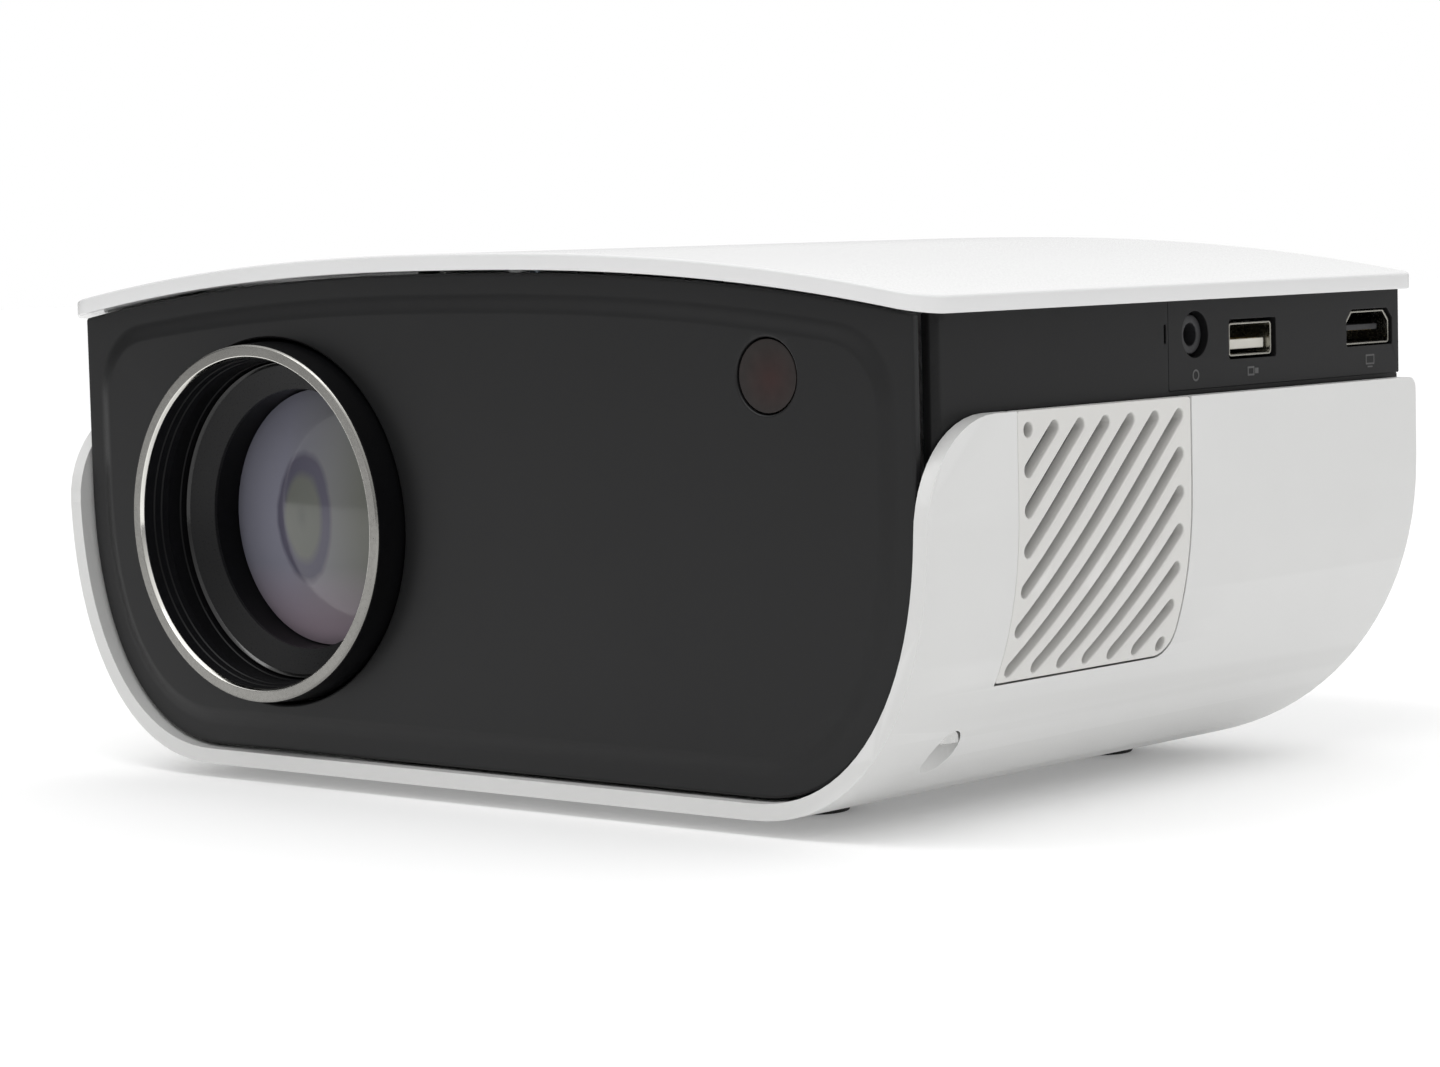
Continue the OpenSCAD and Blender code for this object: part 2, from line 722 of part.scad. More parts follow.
module condenser_lens() color("lightcyan") from_front() {
    translate([24, beam_y, lens_z]) rotate([0, 90, 0]) rotate_extrude()
        polygon(lens_profile(19, 4, 7, 4, 0));
}

module led_lamp() color("gold") from_front() {
    block([38.2, beam_y - 11, lens_z - 11], [39.4, beam_y + 11, lens_z + 11]);
    translate([36.6, beam_y, lens_z]) rotate([0, 90, 0]) cylinder(r = 8, h = 1.8);
}

module lamp_base() color("silver") from_front() {
    difference() {
        block([40, beam_y - 22, 24], [50, beam_y + 22, 64]);
        for (z = pipe_z) translate([pipe_x, beam_y + 30, z]) rotate([90, 0, 0]) cylinder(r = 3.05, h = 60);
    }
    block([39.4, beam_y - 10, lens_z - 10], [40.2, beam_y + 10, lens_z + 10]);
}

module heat_pipes() color("peru") from_front() {
    for (z = pipe_z)
        translate([pipe_x, beam_y + 21, z]) rotate([90, 0, 0]) cylinder(r = 3, h = beam_y - 5);
}

module radiator() color("lightgray") from_front() {
    fin_y1 = fin_y0 + fin_pitch * (fin_n - 1) + 0.8;
    difference() {
        union() {
            for (i = [0 : fin_n - 1])
                block([36, fin_y0 + i * fin_pitch, 22], [64, fin_y0 + i * fin_pitch + 0.8, 64]);
            block([36, fin_y0, 22], [64, fin_y1, 23]);
            block([36, fin_y0, 63], [64, fin_y1, 64]);
        }
        for (z = pipe_z) translate([pipe_x, 80, z]) rotate([90, 0, 0]) cylinder(r = 3.05, h = 70);
    }
}

// Places a part on the fan's axis, with local Z along +X
module fan_axis(dx) {
    translate([fan_x + dx, fan_y, fan_z]) rotate([0, 90, 0]) children();
}

module fan_frame() color("#1c1c1e") from_front() {
    difference() {
        block([fan_x, fan_y - fan_w / 2, fan_z - fan_w / 2],
              [fan_x + fan_t, fan_y + fan_w / 2, fan_z + fan_w / 2]);
        fan_axis(-1) cylinder(r = fan_w / 2 - 1.6, h = fan_t + 2);
        for (dy = [-20, 20], dz = [-20, 20])
            translate([fan_x - 1, fan_y + dy, fan_z + dz]) rotate([0, 90, 0]) cylinder(r = 1.7, h = 20);
    }
    // Hub plate on three struts
    fan_axis(0) cylinder(r = 9, h = 1.2);
    for (a = [30, 150, 270]) fan_axis(0) rotate(a) translate([0, -1.2, 0]) cube([fan_w / 2 - 1, 2.4, 1.2]);
    fan_axis(1) cylinder(r = 1.5, h = 4);
}

module fan_rotor() color("#2a2a2c") from_front() {
    difference() {
        fan_axis(1.8) cylinder(r = 9.5, h = fan_t - 2.6);
        fan_axis(1) cylinder(r = 1.6, h = 4.6);
    }
    intersection() {
        fan_axis(2) for (i = [0 : blade_n - 1])
            rotate(360 * i / blade_n) translate([9, 0, 3.5]) rotate([35, 0, 0])
                translate([-0.5, -5.5, -0.5]) cube([14, 11, 1]);
        fan_axis(2) difference() {
            cylinder(r = fan_w / 2 - 2.4, h = fan_t - 3);
            translate([0, 0, -1]) cylinder(r = 9.2, h = fan_t);
        }
    }
}

module speaker() color("#333335") from_front() {
    translate([-87, speaker_y, 47]) rotate([0, 90, 0]) {
        difference() {
            cylinder(r = 18, h = 4);
            translate([0, 0, -1]) cylinder(r = 15, h = 2.4);
        }
        translate([0, 0, -0.2]) cylinder(r = 5, h = 2);
        translate([0, 0, 3.5]) cylinder(r = 11, h = 5.5);
    }
}

// ---------- boards and sockets ----------

module main_board() color("darkgreen") from_front() {
    translate([0, 0, board_z]) linear_extrude(board_t) polygon([
        [42, 68], [88.6, 68], [88.6, 134], [72, 134], [72, 120], [42, 120]]);
}

module power_board() color("#3c5a2c") from_front() {
    block([-8, 34, 9.6], [34, 59, 11.2]);
}

// Chips, coils and capacitors that stand on the two boards
module board_parts() color("#28282a") from_front() {
    block([50, 84, board_z + board_t], [66, 100, board_z + board_t + 2.4]);
    block([50, 104, board_z + board_t], [62, 112, board_z + board_t + 1.2]);
    block([70, 104, board_z + board_t], [80, 114, board_z + board_t + 1.6]);
    block([-4, 36, 11.2], [14, 54, 26]);
    translate([21, 41, 11.2]) cylinder(r = 5, h = 18);
    translate([21, 53, 11.2]) cylinder(r = 4, h = 14);
    block([27, 36, 11.2], [32, 56, 20]);
}

module av_jack() color("#111112") from_front() {
    difference() {
        union() {
            block([76, jack_y - 3.5, board_z + board_t], [89, jack_y + 3.5, jack_z + 3.4]);
            translate([88, jack_y, jack_z]) rotate([0, 90, 0]) cylinder(r = 3.5, h = 4);
        }
        translate([78, jack_y, jack_z]) rotate([0, 90, 0]) cylinder(r = jack_bore_r, h = 20);
    }
}

module usb_socket() color("silver") from_front() {
    difference() {
        block([77, usb_y - 6.6, usb_z - 2.9], [91.7, usb_y + 6.6, usb_z + 2.9]);
        block([77.4, usb_y - 6.25, usb_z - 2.55], [95, usb_y + 6.25, usb_z + 2.55]);
    }
}

module usb_tongue() color("white") from_front() {
    block([77.4, usb_y - 5.5, usb_z - 1.7], [90.6, usb_y + 5.5, usb_z - 0.1]);
}

module hdmi_socket() color("silver") from_front() {
    difference() {
        along_x(78, 91.7) translate([hdmi_y, hdmi_z]) hdmi_outline(14.2, 5.8);
        along_x(78.4, 95) translate([hdmi_y, hdmi_z]) hdmi_outline(13.4, 5);
    }
}

module hdmi_tongue() color("black") from_front() {
    block([78.4, hdmi_y - 5.2, hdmi_z - 0.5], [90.4, hdmi_y + 5.2, hdmi_z + 0.5]);
}

module power_inlet() color("#151516") from_front() {
    difference() {
        union() {
            block([inlet_x - 10, 117, inlet_z - 6.5], [inlet_x + 10, rear_y + 0.2, inlet_z + 6.5]);
            block([inlet_x - 12, rear_y, inlet_z - 8.5], [inlet_x + 12, rear_y + 0.6, inlet_z + 8.5]);
        }
        along_y(122, body_d + 2) {
            translate([inlet_x - 3.6, inlet_z]) circle(r = 4.3);
            translate([inlet_x + 3.6, inlet_z]) circle(r = 4.3);
            translate([inlet_x - 3.6, inlet_z - 4.3]) square([7.2, 8.6]);
        }
    }
}

module inlet_pins() color("silver") from_front() {
    for (s = [-1, 1])
        translate([inlet_x + s * 4.3, 122, inlet_z]) rotate([-90, 0, 0]) cylinder(r = 1.15, h = 11);
}

module lcd_ribbon() color("orange") from_front() {
    block([0.6, beam_y - 12, box_z1 + 1.5], [44, beam_y + 4, box_z1 + 1.9]);
    block([0.6, beam_y - 12, box_z1 - 2.2], [1, beam_y + 4, box_z1 + 1.9]);
    block([43.6, beam_y - 12, board_z + board_t], [44, beam_y + 4, box_z1 + 1.9]);
}

// ---------- the nodes ----------

lower_shell();
right_grille();
left_grille();
front_panel();
rear_panel();
right_side_panel();
left_side_panel();
port_plate();
top_cover();
case_screws();
rubber_feet();
tilt_foot();
tripod_insert();
ir_window();
ir_receiver();
focus_ring();
chrome_bezel();
lens_barrel();
lens_baffle();
cam_pins();
front_lens();
middle_lens();
rear_lens();
lens_mount();
optics_box();
optics_lid();
engine_screws();
fold_mirror();
field_lens();
lcd_panel();
polarizer();
collimator_lens();
condenser_lens();
led_lamp();
lamp_base();
heat_pipes();
radiator();
fan_frame();
fan_rotor();
speaker();
main_board();
power_board();
board_parts();
av_jack();
usb_socket();
usb_tongue();
hdmi_socket();
hdmi_tongue();
power_inlet();
inlet_pins();
key_board();
power_button();
key_ok();
key_up();
key_down();
key_left();
key_right();
status_led();
lcd_ribbon();
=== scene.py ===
"""Looks of the home projector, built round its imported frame.

Lengths inside the building code are millimetres in the design frame of the CAD: X across the
front, Y from the shell's front rim to the back, Z up from the table. world() turns them into
Blender's metres.
"""

import json
import math

import bmesh
import bpy
from mathutils import Matrix, Vector
from mathutils.geometry import delaunay_2d_cdt

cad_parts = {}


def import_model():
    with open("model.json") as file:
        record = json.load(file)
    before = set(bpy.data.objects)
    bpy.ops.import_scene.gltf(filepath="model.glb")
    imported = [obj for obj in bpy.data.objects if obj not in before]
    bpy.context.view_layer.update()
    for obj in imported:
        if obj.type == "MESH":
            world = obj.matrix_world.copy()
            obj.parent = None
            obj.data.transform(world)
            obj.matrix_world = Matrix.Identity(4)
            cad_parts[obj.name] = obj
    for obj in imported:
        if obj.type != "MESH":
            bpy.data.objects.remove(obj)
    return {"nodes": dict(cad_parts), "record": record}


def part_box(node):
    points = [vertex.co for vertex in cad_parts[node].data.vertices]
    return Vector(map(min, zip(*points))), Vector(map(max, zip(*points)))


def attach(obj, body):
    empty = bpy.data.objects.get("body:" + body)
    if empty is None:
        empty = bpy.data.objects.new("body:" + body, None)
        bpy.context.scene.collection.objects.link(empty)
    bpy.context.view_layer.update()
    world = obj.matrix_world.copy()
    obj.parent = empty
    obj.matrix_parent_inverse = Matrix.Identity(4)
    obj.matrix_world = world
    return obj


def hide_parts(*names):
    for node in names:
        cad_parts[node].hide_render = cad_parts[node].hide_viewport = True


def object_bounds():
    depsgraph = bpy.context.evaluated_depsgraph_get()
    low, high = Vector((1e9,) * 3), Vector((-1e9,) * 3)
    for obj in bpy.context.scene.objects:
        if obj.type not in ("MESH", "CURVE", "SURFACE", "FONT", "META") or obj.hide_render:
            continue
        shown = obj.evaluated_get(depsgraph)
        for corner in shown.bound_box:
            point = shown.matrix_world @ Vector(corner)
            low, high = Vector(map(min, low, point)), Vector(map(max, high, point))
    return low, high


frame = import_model()
cad_low, cad_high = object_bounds()

MM = 0.001
SCENE = bpy.context.scene


def low_high(node):
    """Corners of a CAD node in millimetres of the design frame."""
    low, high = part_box(node)
    return [Vector((p.x / MM, p.y / MM - RIM_Y, p.z / MM)) for p in (low, high)]


RIM_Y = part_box("lower_shell")[0].y / MM


def world(x, y, z):
    return Vector((x, y + RIM_Y, z)) * MM


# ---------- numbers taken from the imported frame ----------

SHELL_LOW, SHELL_HIGH = low_high("lower_shell")
PANEL_LOW = low_high("front_panel")[0]
RING_LOW, RING_HIGH = low_high("chrome_bezel")
IR_LOW, IR_HIGH = low_high("ir_window")

HALF_W = SHELL_HIGH.x
BODY_D = SHELL_HIGH.y
BASE_Z = SHELL_LOW.z
COVER_TOP = low_high("top_cover")[1].z
LENS_X = (RING_LOW.x + RING_HIGH.x) / 2
LENS_Z = (RING_LOW.z + RING_HIGH.z) / 2
IR_X = (IR_LOW.x + IR_HIGH.x) / 2
IR_Z = (IR_LOW.z + IR_HIGH.z) / 2

# Shape rules shared with the CAD
CORNER_RX, CORNER_RZ, CORNER_N = 35.0, 48.0, 2.25
ARCH_RISE, ARCH_N, COVER_T = 7.5, 2.35, 2.7
COVER_Z = COVER_TOP - ARCH_RISE - COVER_T
SHELL_T, GAP = 2.6, 0.3


def corner_point(angle, inset, rise):
    """Point of the big lower right corner; angle 0 is at the wall, a quarter turn at the floor."""
    x = HALF_W - CORNER_RX + (CORNER_RX - inset) * math.cos(angle) ** (2 / CORNER_N)
    z = BASE_Z + CORNER_RZ - (CORNER_RZ - rise) * math.sin(angle) ** (2 / CORNER_N)
    return x, z


def arch_z(x):
    return COVER_Z + ARCH_RISE * (1 - (min(abs(x), HALF_W) / HALF_W) ** ARCH_N)


# ---------- meshes ----------


class Shape:
    """Points and faces that grow into one mesh."""

    def __init__(self):
        self.points, self.faces = [], []

    def ring(self, points):
        start = len(self.points)
        self.points.extend(points)
        return list(range(start, len(self.points)))

    def skin(self, rings):
        """Faces between each ring and the next."""
        for a, b in zip(rings, rings[1:]):
            for i in range(len(a)):
                j = (i + 1) % len(a)
                self.faces.append((a[i], a[j], b[j], b[i]))

    def cap(self, ring):
        self.faces.append(tuple(ring))


def build(name, shape, body, slot, replaces=(), sharp=40, merge=1e-6, look=None):
    """Turns a Shape in design millimetres into a smooth piece that rides on a body."""
    mesh = bpy.data.meshes.new(name)
    mesh.from_pydata([world(*p) for p in shape.points], [], shape.faces)
    bm = bmesh.new()
    bm.from_mesh(mesh)
    bmesh.ops.remove_doubles(bm, verts=bm.verts, dist=merge)
    bmesh.ops.dissolve_degenerate(bm, edges=bm.edges, dist=merge / 2)
    bmesh.ops.recalc_face_normals(bm, faces=bm.faces)
    bm.to_mesh(mesh)
    bm.free()
    mesh.polygons.foreach_set("use_smooth", [True] * len(mesh.polygons))
    mesh.set_sharp_from_angle(angle=math.radians(sharp))
    obj = bpy.data.objects.new(name, mesh)
    SCENE.collection.objects.link(obj)
    weigh = obj.modifiers.new("weighted", "WEIGHTED_NORMAL")
    weigh.keep_sharp = True
    obj.data.materials.append(MATERIALS[look or slot])
    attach(obj, body)
    if replaces:
        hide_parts(*replaces)
    return obj


def quarter(steps):
    """Angles over a quarter turn."""
    return [math.pi / 2 * k / steps for k in range(steps + 1)]


def fillet(corners, steps=5, closed=True):
    """Rounds a polyline of (u, v, radius) corners."""
    out = []
    n = len(corners)
    for i, (u, v, r) in enumerate(corners):
        here = Vector((u, v))
        if r <= 0 or (not closed and i in (0, n - 1)):
            out.append(here)
            continue
        before = (Vector(corners[i - 1][:2]) - here).normalized()
        after = (Vector(corners[(i + 1) % n][:2]) - here).normalized()
        half = before.angle(after) / 2
        reach = r / math.tan(half)
        middle = here + (before + after).normalized() * (r / math.sin(half))
        start, end = here + before * reach, here + after * reach
        a0 = math.atan2(start.y - middle.y, start.x - middle.x)
        turn = math.atan2(end.y - middle.y, end.x - middle.x) - a0
        turn = (turn + math.pi) % (2 * math.pi) - math.pi
        out += [
            middle + Vector((math.cos(a0 + turn * k / steps), math.sin(a0 + turn * k / steps))) * r
            for k in range(steps + 1)
        ]
    return out


def lathe(profile, place, segments=144, closed=True):
    """Turns a profile of (radius, depth) points; place(radius, angle, depth) gives the point."""
    shape = Shape()
    rings = []
    for p in profile:
        if p[0] < 1e-6:
            rings.append(shape.ring([place(0, 0, p[1])]) * segments)
        else:
            rings.append(
                shape.ring([place(p[0], 2 * math.pi * k / segments, p[1]) for k in range(segments)])
            )
    pairs = list(zip(rings, rings[1:] + rings[:1])) if closed else list(zip(rings, rings[1:]))
    for a, b in pairs:
        if a[0] == a[1] and b[0] == b[1]:
            continue
        for k in range(segments):
            j = (k + 1) % segments
            face = []
            for index in (a[k], a[j], b[j], b[k]):
                if index not in face:
                    face.append(index)
            shape.faces.append(tuple(face))
    return shape


def about_lens(r, angle, depth):
    return (LENS_X + r * math.cos(angle), depth, LENS_Z + r * math.sin(angle))


def sideways(cy, cz):
    """Place for a lathe whose axis runs along X."""
    return lambda r, angle, x: (x, cy + r * math.cos(angle), cz + r * math.sin(angle))


def offset(loop, distance):
    """Moves a closed loop sideways, to its left for a positive distance."""
    out = []
    n = len(loop)
    for i in range(n):
        a, b, c = loop[i - 1], loop[i], loop[(i + 1) % n]
        d0, d1 = (b - a).normalized(), (c - b).normalized()
        n0, n1 = Vector((-d0.y, d0.x)), Vector((-d1.y, d1.x))
        m = n0 + n1
        m = m / max(m.length_squared, 1e-9) * 2
        out.append(b + m * distance)
    return out


def dense(loop, step):
    """Splits a loop's long edges, so that it can follow a curved surface."""
    out = []
    for a, b in zip(loop, loop[1:] + loop[:1]):
        n = max(1, round((b - a).length / step))
        out += [a.lerp(b, k / n) for k in range(n)]
    return out


def area(loop):
    return sum(a.x * b.y - b.x * a.y for a, b in zip(loop, loop[1:] + loop[:1])) / 2


def clockwise(loop):
    return loop if area(loop) < 0 else loop[::-1]


def grid_points(low, high, count_u, count_v):
    """Grid over a rectangle, without its border."""
    (u0, v0), (u1, v1) = low, high
    return [
        Vector((u0 + (u1 - u0) * i / count_u, v0 + (v1 - v0) * j / count_v))
        for i in range(1, count_u)
        for j in range(1, count_v)
    ]


def inside(point, loop):
    hit = False
    for a, b in zip(loop, loop[1:] + loop[:1]):
        if (a.y > point.y) != (b.y > point.y):
            if point.x < (b.x - a.x) * (point.y - a.y) / (b.y - a.y) + a.x:
                hit = not hit
    return hit


def fill(loops, extra=()):
    """Triangles over the area between the first loop and the others, as indices in their order."""
    points = [p for loop in loops for p in loop] + list(extra)
    edges, start = [], 0
    for loop in loops:
        n = len(loop)
        edges += [(start + i, start + (i + 1) % n) for i in range(n)]
        start += n
    made, _, faces, origin, _, _ = delaunay_2d_cdt(points, edges, [], 0, 1e-7)
    if any(not o for o in origin):
        raise ValueError("loops cross each other")
    back = [o[0] for o in origin]
    boxes = [
        (min(p.x for p in lp), max(p.x for p in lp), min(p.y for p in lp), max(p.y for p in lp))
        for lp in loops
    ]

    def within(point, k):
        b = boxes[k]
        return b[0] <= point.x <= b[1] and b[2] <= point.y <= b[3] and inside(point, loops[k])

    kept = []
    for f in faces:
        # a flat sliver between points of one straight edge is left out
        a, b, c = (made[i] for i in f)
        longest = max((b - a).length, (c - b).length, (a - c).length)
        if abs((b - a).cross(c - a)) < 1e-4 * longest:
            continue
        middle = (a + b + c) / 3
        if within(middle, 0) and not any(within(middle, k) for k in range(1, len(loops))):
            kept.append(tuple(back[i] for i in f))
    return kept


def plate(outer, holes, place, thick, edge=0.4, hole_edge=0.3, back_edge=0.0, steps=4, extra=()):
    """A plate with rounded edges. place(u, v, depth) maps it into the design frame; depth 0 is
    the front face. Holes are loops in (u, v)."""
    outer = outer if area(outer) > 0 else outer[::-1]
    holes = [clockwise(h) for h in holes]
    shape = Shape()
    fronts, backs = [], []
    for k, loop in enumerate([outer] + holes):
        r = edge if k == 0 else hole_edge
        rings = []
        for a in quarter(steps):
            rings.append((offset(loop, r * (1 - math.sin(a))), r * (1 - math.cos(a))))
        br = back_edge
        for s in range(steps + 1 if br else 1):
            a = math.pi / 2 * (1 - s / steps) if br else math.pi / 2
            rings.append((offset(loop, br * (1 - math.sin(a))), thick - br * (1 - math.cos(a))))
        made = [shape.ring([place(p.x, p.y, d) for p in ring]) for ring, d in rings]
        shape.skin(made)
        fronts.append((rings[0][0], made[0]))
        backs.append((rings[-1][0], made[-1]))
    for loops, depth in ((fronts, 0), (backs, thick)):
        index = [i for _, made in loops for i in made]
        index += shape.ring([place(p.x, p.y, depth) for p in extra])
        for face in fill([ring for ring, _ in loops], extra):
            shape.faces.append(tuple(index[i] for i in face))
    return shape


def join(shape, more):
    base = len(shape.points)
    shape.points += more.points
    shape.faces += [tuple(i + base for i in f) for f in more.faces]


def circle(cx, cy, r, n=48):
    return [
        Vector((cx + r * math.cos(2 * math.pi * k / n), cy + r * math.sin(2 * math.pi * k / n)))
        for k in range(n)
    ]


def box_loop(low, high, r=0.0, steps=4):
    """Rounded rectangle from its two corners."""
    (u0, v0), (u1, v1) = low, high
    return fillet([(u0, v0, r), (u1, v0, r), (u1, v1, r), (u0, v1, r)], steps)


def slot_loop(a, b, width, steps=8):
    """Round-ended slot from a to b."""
    a, b = Vector(a), Vector(b)
    turn = math.atan2(b.y - a.y, b.x - a.x)
    r = width / 2
    ends = ((b, turn - math.pi / 2), (a, turn + math.pi / 2))
    return [
        c + Vector((math.cos(a0 + math.pi * k / steps), math.sin(a0 + math.pi * k / steps))) * r
        for c, a0 in ends
        for k in range(steps + 1)
    ]


# ---------- materials ----------


def map_range(tree, source, spans):
    """Maps a value linearly; spans is (from low, from high, to low, to high)."""
    node = tree.nodes.new("ShaderNodeMapRange")
    for key, value in zip(("From Min", "From Max", "To Min", "To Max"), spans):
        node.inputs[key].default_value = value
    tree.links.new(source, node.inputs["Value"])
    return node.outputs["Result"]


class Nodes:
    """Short hand for one material's node tree."""

    def __init__(self, name):
        self.material = bpy.data.materials.new(name)
        self.material.use_nodes = True
        self.tree = self.material.node_tree
        self.tree.nodes.clear()
        self.out = self.new("ShaderNodeOutputMaterial")
        self.shader = self.new("ShaderNodeBsdfPrincipled")
        self.link(self.shader.outputs["BSDF"], self.out.inputs["Surface"])
        self.where = self.new("ShaderNodeTexCoord").outputs["Object"]

    def new(self, kind, **inputs):
        node = self.tree.nodes.new(kind)
        for key, value in inputs.items():
            node.inputs[key].default_value = value
        return node

    def link(self, a, b):
        self.tree.links.new(a, b)

    def feed(self, socket, value):
        """Sets a socket, or links it where the value is another socket."""
        if hasattr(value, "is_output"):
            self.link(value, socket)
        else:
            socket.default_value = value

    def noise(self, scale, detail=2.0, rough=0.5, stretch=None):
        node = self.new("ShaderNodeTexNoise", Scale=scale, Detail=detail, Roughness=rough)
        where = self.where
        if stretch:
            mapping = self.new("ShaderNodeMapping")
            mapping.inputs["Scale"].default_value = stretch
            self.link(where, mapping.inputs["Vector"])
            where = mapping.outputs["Vector"]
        self.link(where, node.inputs["Vector"])
        return node.outputs["Fac"]

    def ramp(self, source, low, high, at=(0.3, 0.7)):
        return map_range(self.tree, source, (*at, low, high))

    def mix(self, factor, a, b, blend="MIX"):
        node = self.new("ShaderNodeMix")
        node.data_type, node.blend_type = "RGBA", blend
        for key, value in ((0, factor), (6, a), (7, b)):
            self.feed(node.inputs[key], value)
        return node.outputs[2]

    def bump(self, height, distance, strength=1.0, normal=None):
        node = self.new("ShaderNodeBump", Distance=distance, Strength=strength)
        self.link(height, node.inputs["Height"])
        if normal is not None:
            self.link(normal, node.inputs["Normal"])
        return node.outputs["Normal"]


def rgba(color, alpha=1.0):
    return (*color[:3], alpha)


def shade(color, factor):
    return tuple(min(1.0, c * factor) for c in color[:3])


def plastic(
    name, color, rough, grain=3500, grain_depth=0.004, vary=0.04, coat=0.0, gloss=0.5
):
    """Moulded plastic: spark-eroded grain, slow colour drift and slightly polished edges."""
    n = Nodes(name)
    s = n.shader.inputs
    drift = n.ramp(n.noise(30, 3.0), 0.0, 1.0)
    base = n.mix(drift, rgba(shade(color, 1 - vary)), rgba(shade(color, 1 + vary)))
    edge = n.ramp(n.new("ShaderNodeNewGeometry").outputs["Pointiness"], 0.0, 0.12, (0.51, 0.58))
    worn = rgba(shade(color, 1.6)) if max(color) < 0.3 else (1, 1, 1, 1)
    n.link(n.mix(edge, base, worn), s["Base Color"])
    fine = n.noise(grain, 2.0, 0.6)
    n.link(n.ramp(fine, rough - 0.05, rough + 0.07), s["Roughness"])
    n.link(n.bump(fine, grain_depth * MM), s["Normal"])
    s["Coat Weight"].default_value = coat
    s["Coat Roughness"].default_value = 0.08
    s["Specular IOR Level"].default_value = gloss
    return n.material


def metal(name, color, rough, stretch=(1, 1, 1), scale=1500, depth=0.003, vary=0.06):
    """Metal with fine machining or brushing marks."""
    n = Nodes(name)
    s = n.shader.inputs
    marks = n.noise(scale, 3.0, 0.65, stretch)
    smudge = n.ramp(n.noise(90, 3.0), 0.0, 1.0)
    base = n.mix(smudge, rgba(shade(color, 1 - vary)), rgba(shade(color, 1 + vary)))
    n.link(base, s["Base Color"])
    s["Metallic"].default_value = 1.0
    n.link(n.ramp(marks, max(0.03, rough - 0.06), rough + 0.08), s["Roughness"])
    n.link(n.bump(marks, depth * MM), s["Normal"])
    return n.material


def glass(name, tint, rough=0.02, ior=1.5, coating=None):
    """Optical glass with faint dust, and a coloured sheen where it is coated."""
    n = Nodes(name)
    s = n.shader.inputs
    dust = n.noise(2500, 4.0, 0.7)
    dusty = n.mix(n.ramp(dust, 0, 0.12, (0.6, 0.8)), rgba(tint), (0.8, 0.8, 0.8, 1))
    n.link(dusty, s["Base Color"])
    n.link(n.ramp(dust, rough, rough + 0.08, (0.55, 0.8)), s["Roughness"])
    s["Transmission Weight"].default_value = 1.0
    s["IOR"].default_value = ior
    if coating:
        s["Coat Weight"].default_value = 1.0
        s["Coat Roughness"].default_value = 0.03
        s["Coat IOR"].default_value = 1.9
        s["Coat Tint"].default_value = rgba(coating)
    return n.material


def glass_with_painted_reflections(name):
    """Front glass: painted reflections in its colour, a pale veil with an oval ghost ring, over a
    clear body.
    """
    n = Nodes(name)
    s = n.shader.inputs
    apart = n.new("ShaderNodeSeparateXYZ")
    n.link(n.where, apart.inputs["Vector"])
    x, z = apart.outputs["X"], apart.outputs["Z"]

    def math_node(kind, a, b):
        node = n.new("ShaderNodeMath")
        node.operation = kind
        n.feed(node.inputs[0], a)
        n.feed(node.inputs[1], b)
        return node.outputs[0]

    def squared(value, middle, half):
        scaled = math_node("DIVIDE", math_node("SUBTRACT", value, middle), half * MM)
        return math_node("POWER", scaled, 2.0)

    # distance from the centre of the painted ghost reflection in ovals, slightly uneven
    painted_ghost_centre = world(LENS_X - 1.1, 0, LENS_Z + 0.2)
    oval = math_node("ADD", squared(x, painted_ghost_centre.x, 6.3), squared(z, painted_ghost_centre.z, 10.4))
    uneven = math_node("MULTIPLY", math_node("SUBTRACT", n.noise(220, 2.0), 0.5), 0.12)
    drift = math_node("ADD", math_node("SQRT", oval, 0), uneven)
    # painted coating reflections: violet on the left to green on the right, and pink at the bottom
    centre = world(LENS_X, 0, LENS_Z)
    rightwards = n.ramp(x, 0, 1, (centre.x - 6 * MM, centre.x + 12 * MM))
    tint = n.mix(rightwards, (0.27, 0.27, 0.33, 1), (0.20, 0.205, 0.18, 1))
    downwards = n.ramp(z, 0.9, 0, (centre.z - 19 * MM, centre.z - 8 * MM))
    tint = n.mix(downwards, tint, (0.42, 0.34, 0.40, 1))
    # painted ghost reflection: a dark violet ring, a grey-green core inside it and a darker spot at
    # its centre
    ring = n.mix(n.ramp(drift, 0, 1, (0.98, 1.12)), (0.122, 0.116, 0.160, 1), tint)
    painted_ghost_core = n.mix(n.ramp(drift, 0, 1, (0.62, 0.80)), (0.182, 0.189, 0.170, 1), ring)
    painted_dark_spot = n.mix(n.ramp(drift, 0.5, 0, (0.05, 0.28)), painted_ghost_core, (0.14, 0.145, 0.135, 1))
    n.link(painted_dark_spot, s["Base Color"])
    n.link(n.ramp(n.noise(1800, 4.0, 0.7), 0.05, 0.11), s["Roughness"])
    s["Transmission Weight"].default_value = 0.28
    s["IOR"].default_value = 1.45
    return n.material


def ir_filter(name):
    """Dark red filter, redder towards a spot a little right of and below its middle, greyer towards
    its edge.
    """
    n = Nodes(name)
    s = n.shader.inputs
    apart = n.new("ShaderNodeVectorMath")
    apart.operation = "DISTANCE"
    n.link(n.where, apart.inputs[0])
    apart.inputs[1].default_value = world(IR_X + 0.6, IR_LOW.y, IR_Z - 0.4)
    far = n.ramp(apart.outputs["Value"], 1, 0, (0.5 * MM, 5.2 * MM))
    smoke = n.ramp(n.noise(420, 3.0), 0.85, 1.1)
    tint = n.mix(far, (0.0190, 0.0150, 0.0140, 1), (0.026, 0.0110, 0.0100, 1))
    n.link(n.mix(1.0, tint, smoke, "MULTIPLY"), s["Base Color"])
    n.link(n.ramp(n.noise(2600, 2.0), 0.1, 0.16), s["Roughness"])
    s["Specular IOR Level"].default_value = 0.22
    return n.material


